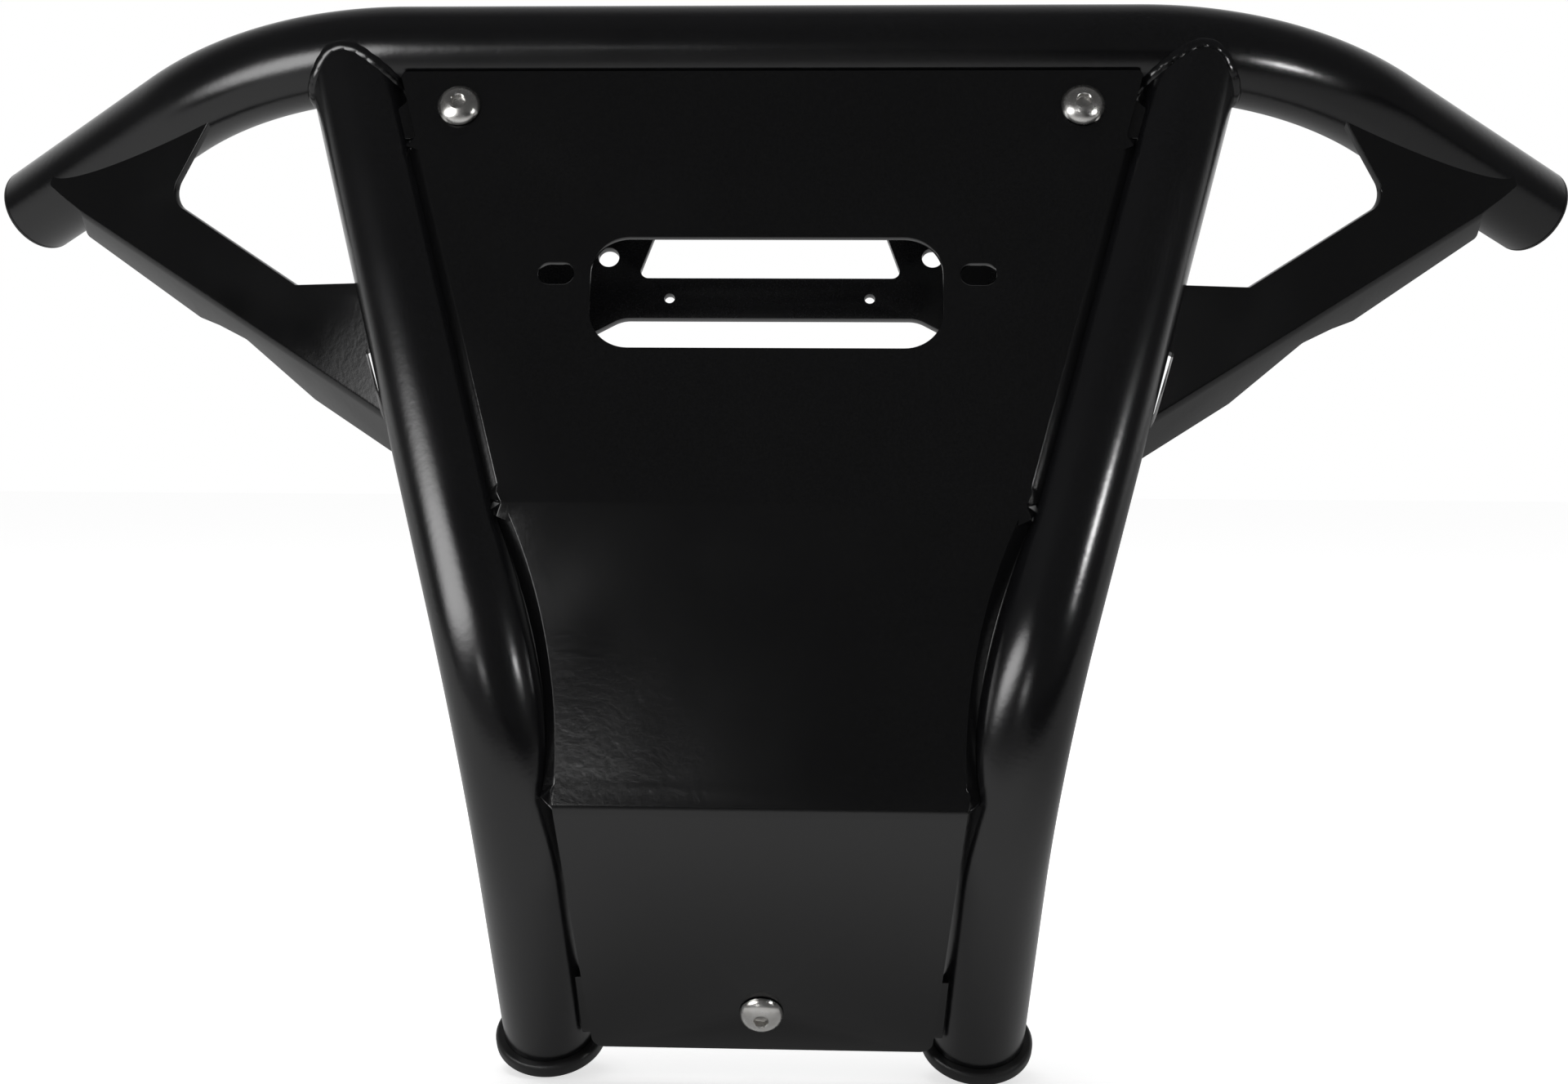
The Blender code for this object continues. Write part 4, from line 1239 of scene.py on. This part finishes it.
marked = add_node(
    screw_tree,
    "GeometryNodeStoreNamedAttribute",
    {
        "Geometry": screw.outputs["Geometry"],
        "Name": "ring",
        "Value": distance.outputs["Value"],
    },
    data_type="FLOAT",
    domain="POINT",
)


def seat_each(tree, given, part):
    """Ends a tree with a part on every seat, turned as the seat is."""
    turn = add_node(tree, "GeometryNodeInputNamedAttribute", {"Name": "turn"}, data_type="QUATERNION")
    placed = add_node(
        tree,
        "GeometryNodeInstanceOnPoints",
        {"Points": given["Geometry"], "Instance": part, "Rotation": turn.outputs["Attribute"]},
    )
    end_tree(tree, placed.outputs["Instances"], given["Finish"])


def seats(places):
    """A mesh with one point at each place, with its turn kept beside it."""
    mesh = line([place.translation for place in places])
    turn = mesh.attributes.new("turn", "QUATERNION", "POINT")
    turns = [place.to_quaternion() for place in places]
    turn.data.foreach_set("value", [value for quaternion in turns for value in quaternion])
    return mesh


seat_each(screw_tree, given, marked.outputs["Geometry"])

# Each screw was driven to its own angle
DRIVEN = (math.radians(12), math.radians(49), math.radians(-8))
screw_places = [
    front @ Matrix.Translation((-TOP_SCREW_X, -TOP_SCREW_DOWN, SHEET_FRONT)),
    front @ Matrix.Translation((TOP_SCREW_X, -TOP_SCREW_DOWN, SHEET_FRONT)),
    lower_front @ Matrix.Translation((0, FOOT_SCREW_UP - SHEET_LOWER, 0)),
]
screw_places = [place @ Matrix.Rotation(angle, 4, "Z") for place, angle in zip(screw_places, DRIVEN)]
values = {
    "Head": head,
    "Thread Radius": neck,
    "Pitch": THREAD_PITCH,
    "Thread Depth": THREAD_DEEP,
    "Length": SCREW_LONG - 2 * THREAD_PITCH,
    "Profile Sides": THREAD_SIDES,
    "Finish": stainless,
}
screws = add_piece("screws", grown(screw_tree, seats(screw_places), values), Matrix.Identity(4))
shade(screws)
stand_for(screws, "steel", "left_top_screw", "right_top_screw", "lower_screw")
bpy.data.objects.remove(head)


# Nuts. Stainless steel hexagons, pressed, chamfered to a circle at both faces and tapped.
NUT_FLATS = 0.0130
NUT_HIGH = 0.0065
NUT_CHAMFER = math.radians(30)
NUT_CLEAR = 0.0001

corner = NUT_FLATS / math.sqrt(3)
drop = (corner - NUT_FLATS / 2) * math.tan(NUT_CHAMFER)
cone = [
    (0, -NUT_HIGH),
    (NUT_FLATS / 2, -NUT_HIGH),
    (corner + NUT_CLEAR, -NUT_HIGH + drop),
    (corner + NUT_CLEAR, -drop),
    (NUT_FLATS / 2, 0),
    (0, 0),
]
blank = sheet_metal([circle(0, 0, corner, 6), circle(0, 0, SCREW_HOLE_R)], NUT_HIGH, SCREW_EDGE)
nut = add_piece("nut", as_mesh(blank, stainless), Matrix.Identity(4))
cut(nut, turned(cone, stainless), Matrix.Identity(4), "INTERSECT")
settle(nut)

nut_tree, given = new_tree("nuts", {"Nut": "Object", "Finish": "Material"})
nut_part = add_node(
    nut_tree,
    "GeometryNodeObjectInfo",
    {"Object": given["Nut"]},
    transform_space="ORIGINAL",
)
seat_each(nut_tree, given, nut_part.outputs["Geometry"])
behind = Matrix.Translation((0, 0, -SHEET - TAB - 2 * SEAT))
nut_seats = seats([place @ behind for place in screw_places])
nuts = add_piece("nuts", grown(nut_tree, nut_seats, {"Nut": nut, "Finish": stainless}), Matrix.Identity(4))
shade(nuts, SHEET_SMOOTH)
stand_for(nuts, "steel", "left_top_nut", "right_top_nut", "lower_nut")
bpy.data.objects.remove(nut)


# The studio. A pale floor under the feet, white all round, and soft panels at the left, at the right
# and far in front, whose reflections run along the tubes.
FLOOR_Z = cad_box[0].z - 0.001
FLOOR_HALF = 6.0

floor_mesh = bpy.data.meshes.new("floor")
corners = [(-1, -1), (1, -1), (1, 1), (-1, 1)]
floor_mesh.from_pydata([(x * FLOOR_HALF, y * FLOOR_HALF, FLOOR_Z) for x, y in corners], [], [(0, 1, 2, 3)])
floor = bpy.data.objects.new("floor", floor_mesh)
bpy.context.scene.collection.objects.link(floor)
paper, tree, shader = new_material("pale_paper")
shader.inputs["Roughness"].default_value = 0.9
shader.inputs["Specular IOR Level"].default_value = 0.0
shader.inputs["Emission Color"].default_value = (1, 1, 1, 1)
path = add_node(tree, "ShaderNodeLightPath")
# In reflections only, the paper is painted dark in front and towards the right, as painted shade where the
# room is dark, and elsewhere it has a painted glow
place = add_node(tree, "ShaderNodeTexCoord").outputs["Object"]
ahead = add_node(tree, "ShaderNodeSeparateXYZ", {"Vector": place})
in_front = add_node(
    tree,
    "ShaderNodeMapRange",
    {"Value": ahead.outputs["Y"], "From Min": -0.30, "From Max": -0.80, "To Min": 0.3, "To Max": 0.8},
    interpolation_type="SMOOTHSTEP",
)
on_the_right = add_node(
    tree,
    "ShaderNodeMapRange",
    {"Value": ahead.outputs["X"], "From Min": 0.05, "From Max": 0.50, "To Min": 0.0, "To Max": 0.3},
    interpolation_type="SMOOTHSTEP",
)
faded = add_node(
    tree,
    "ShaderNodeMath",
    {0: in_front.outputs["Result"], 1: on_the_right.outputs["Result"]},
    operation="ADD",
    use_clamp=True,
)
dimmed = add_node(
    tree,
    "ShaderNodeMath",
    {0: faded.outputs["Value"], 1: path.outputs["Is Glossy Ray"]},
    operation="MULTIPLY",
)
paper_colour = add_node(
    tree,
    "ShaderNodeMix",
    {"Factor": dimmed.outputs["Value"], "A": colour("#f2f2f2"), "B": (0, 0, 0, 1)},
    data_type="RGBA",
)
tree.links.new(paper_colour.outputs["Result"], shader.inputs["Base Color"])
undimmed = add_node(
    tree,
    "ShaderNodeMath",
    {0: path.outputs["Is Glossy Ray"], 1: dimmed.outputs["Value"]},
    operation="SUBTRACT",
)
# A painted glow that only reflections see, weaker where the paper is painted darker
painted_glow_in_reflections = add_node(
    tree,
    "ShaderNodeMath",
    {0: undimmed.outputs["Value"], 1: 0.25},
    operation="MULTIPLY",
)
seen = add_node(
    tree,
    "ShaderNodeMath",
    {0: path.outputs["Is Camera Ray"], 1: 0.62, 2: painted_glow_in_reflections.outputs["Value"]},
    operation="MULTIPLY_ADD",
)
tree.links.new(seen.outputs["Value"], shader.inputs["Emission Strength"])
floor_mesh.materials.append(paper)

# White to the camera. In reflections it is white behind the object and dim in front and overhead, as
# in a dark studio
world = bpy.data.worlds.new("studio")
bpy.context.scene.world = world
world.use_nodes = True
tree = world.node_tree
path = add_node(tree, "ShaderNodeLightPath")
heading = add_node(tree, "ShaderNodeTexCoord").outputs["Generated"]
parts = add_node(tree, "ShaderNodeSeparateXYZ", {"Vector": heading})
rear = add_node(
    tree,
    "ShaderNodeMapRange",
    {"Value": parts.outputs["Y"], "From Min": 0.05, "From Max": 0.6, "To Min": 0.0, "To Max": 0.85},
    interpolation_type="SMOOTHSTEP",
)
roof = add_node(
    tree,
    "ShaderNodeMapRange",
    {"Value": parts.outputs["Z"], "From Min": 0.15, "From Max": 0.8, "To Min": 1.0, "To Max": 0.25},
    interpolation_type="SMOOTHSTEP",
)
mirrored_white = add_node(
    tree,
    "ShaderNodeMath",
    {0: rear.outputs["Result"], 1: roof.outputs["Result"], 2: 0.07},
    operation="MULTIPLY_ADD",
)
ambient = add_node(
    tree,
    "ShaderNodeMix",
    {"Factor": path.outputs["Is Glossy Ray"], "A": 0.40, "B": mirrored_white.outputs["Value"]},
    data_type="FLOAT",
)
level = add_node(
    tree,
    "ShaderNodeMix",
    {"Factor": path.outputs["Is Camera Ray"], "A": ambient.outputs["Result"], "B": 1.0},
    data_type="FLOAT",
)
backdrop = tree.nodes["Background"]
backdrop.inputs["Color"].default_value = (1, 1, 1, 1)
tree.links.new(level.outputs["Result"], backdrop.inputs["Strength"])


def softbox(name, place, half_wide, half_high, tilt, strength):
    """A light panel that faces the middle of the picture, tilted, and brightest at its own middle."""
    mesh = bpy.data.meshes.new(name)
    corners = [(x * half_wide, y * half_high, 0) for x, y in ((-1, -1), (1, -1), (1, 1), (-1, 1))]
    mesh.from_pydata(corners, [], [(0, 1, 2, 3)])
    cloth, tree, shader = new_material(name)
    shader.inputs["Base Color"].default_value = (0, 0, 0, 1)
    shader.inputs["Specular IOR Level"].default_value = 0.0
    shader.inputs["Emission Color"].default_value = (1, 1, 1, 1)
    here = add_node(tree, "ShaderNodeTexCoord").outputs["Object"]
    share = add_node(
        tree,
        "ShaderNodeVectorMath",
        {0: here, 1: (1 / half_wide, 1 / half_high, 0)},
        operation="MULTIPLY",
    )
    from_middle = add_node(
        tree,
        "ShaderNodeVectorMath",
        {0: share.outputs["Vector"]},
        operation="LENGTH",
    )
    glow = add_node(
        tree,
        "ShaderNodeMapRange",
        {"Value": from_middle.outputs["Value"], "From Min": 1.0, "From Max": 0.35, "To Max": strength},
        interpolation_type="SMOOTHSTEP",
    )
    tree.links.new(glow.outputs["Result"], shader.inputs["Emission Strength"])
    mesh.materials.append(cloth)
    box = bpy.data.objects.new(name, mesh)
    facing = Vector((-place.x, -place.y, 0)).normalized()
    upward = Vector((0, 0, 1))
    turn = Matrix((upward.cross(facing), upward, facing)).transposed().to_4x4()
    box.matrix_world = Matrix.Translation(place) @ turn @ Matrix.Rotation(tilt, 4, "Z")
    box.visible_camera = False
    box.visible_diffuse = False
    box.visible_shadow = False
    bpy.context.scene.collection.objects.link(box)


softbox("left_softbox", Vector((-0.382, -0.370, 0.054)), 0.31, 0.145, math.radians(-21), 7.5)
softbox("far_softbox", Vector((-0.78, -2.95, 0.38)), 0.50, 0.11, 0, 11.0)
softbox("right_softbox", Vector((0.40, -0.28, 0.046)), 0.055, 0.026, 0, 46.0)

# A broad lamp overhead gives the shadow on the floor and isn't seen in reflections
overhead = bpy.data.lights.new("overhead", "AREA")
overhead.shape = "DISK"
overhead.size = 1.6
overhead.energy = 22
lamp = bpy.data.objects.new("overhead", overhead)
lamp.location = (-0.3, -0.2, 1.9)
lamp.rotation_euler = (math.radians(-6), math.radians(-9), 0)
lamp.visible_camera = False
lamp.visible_glossy = False
bpy.context.scene.collection.objects.link(lamp)
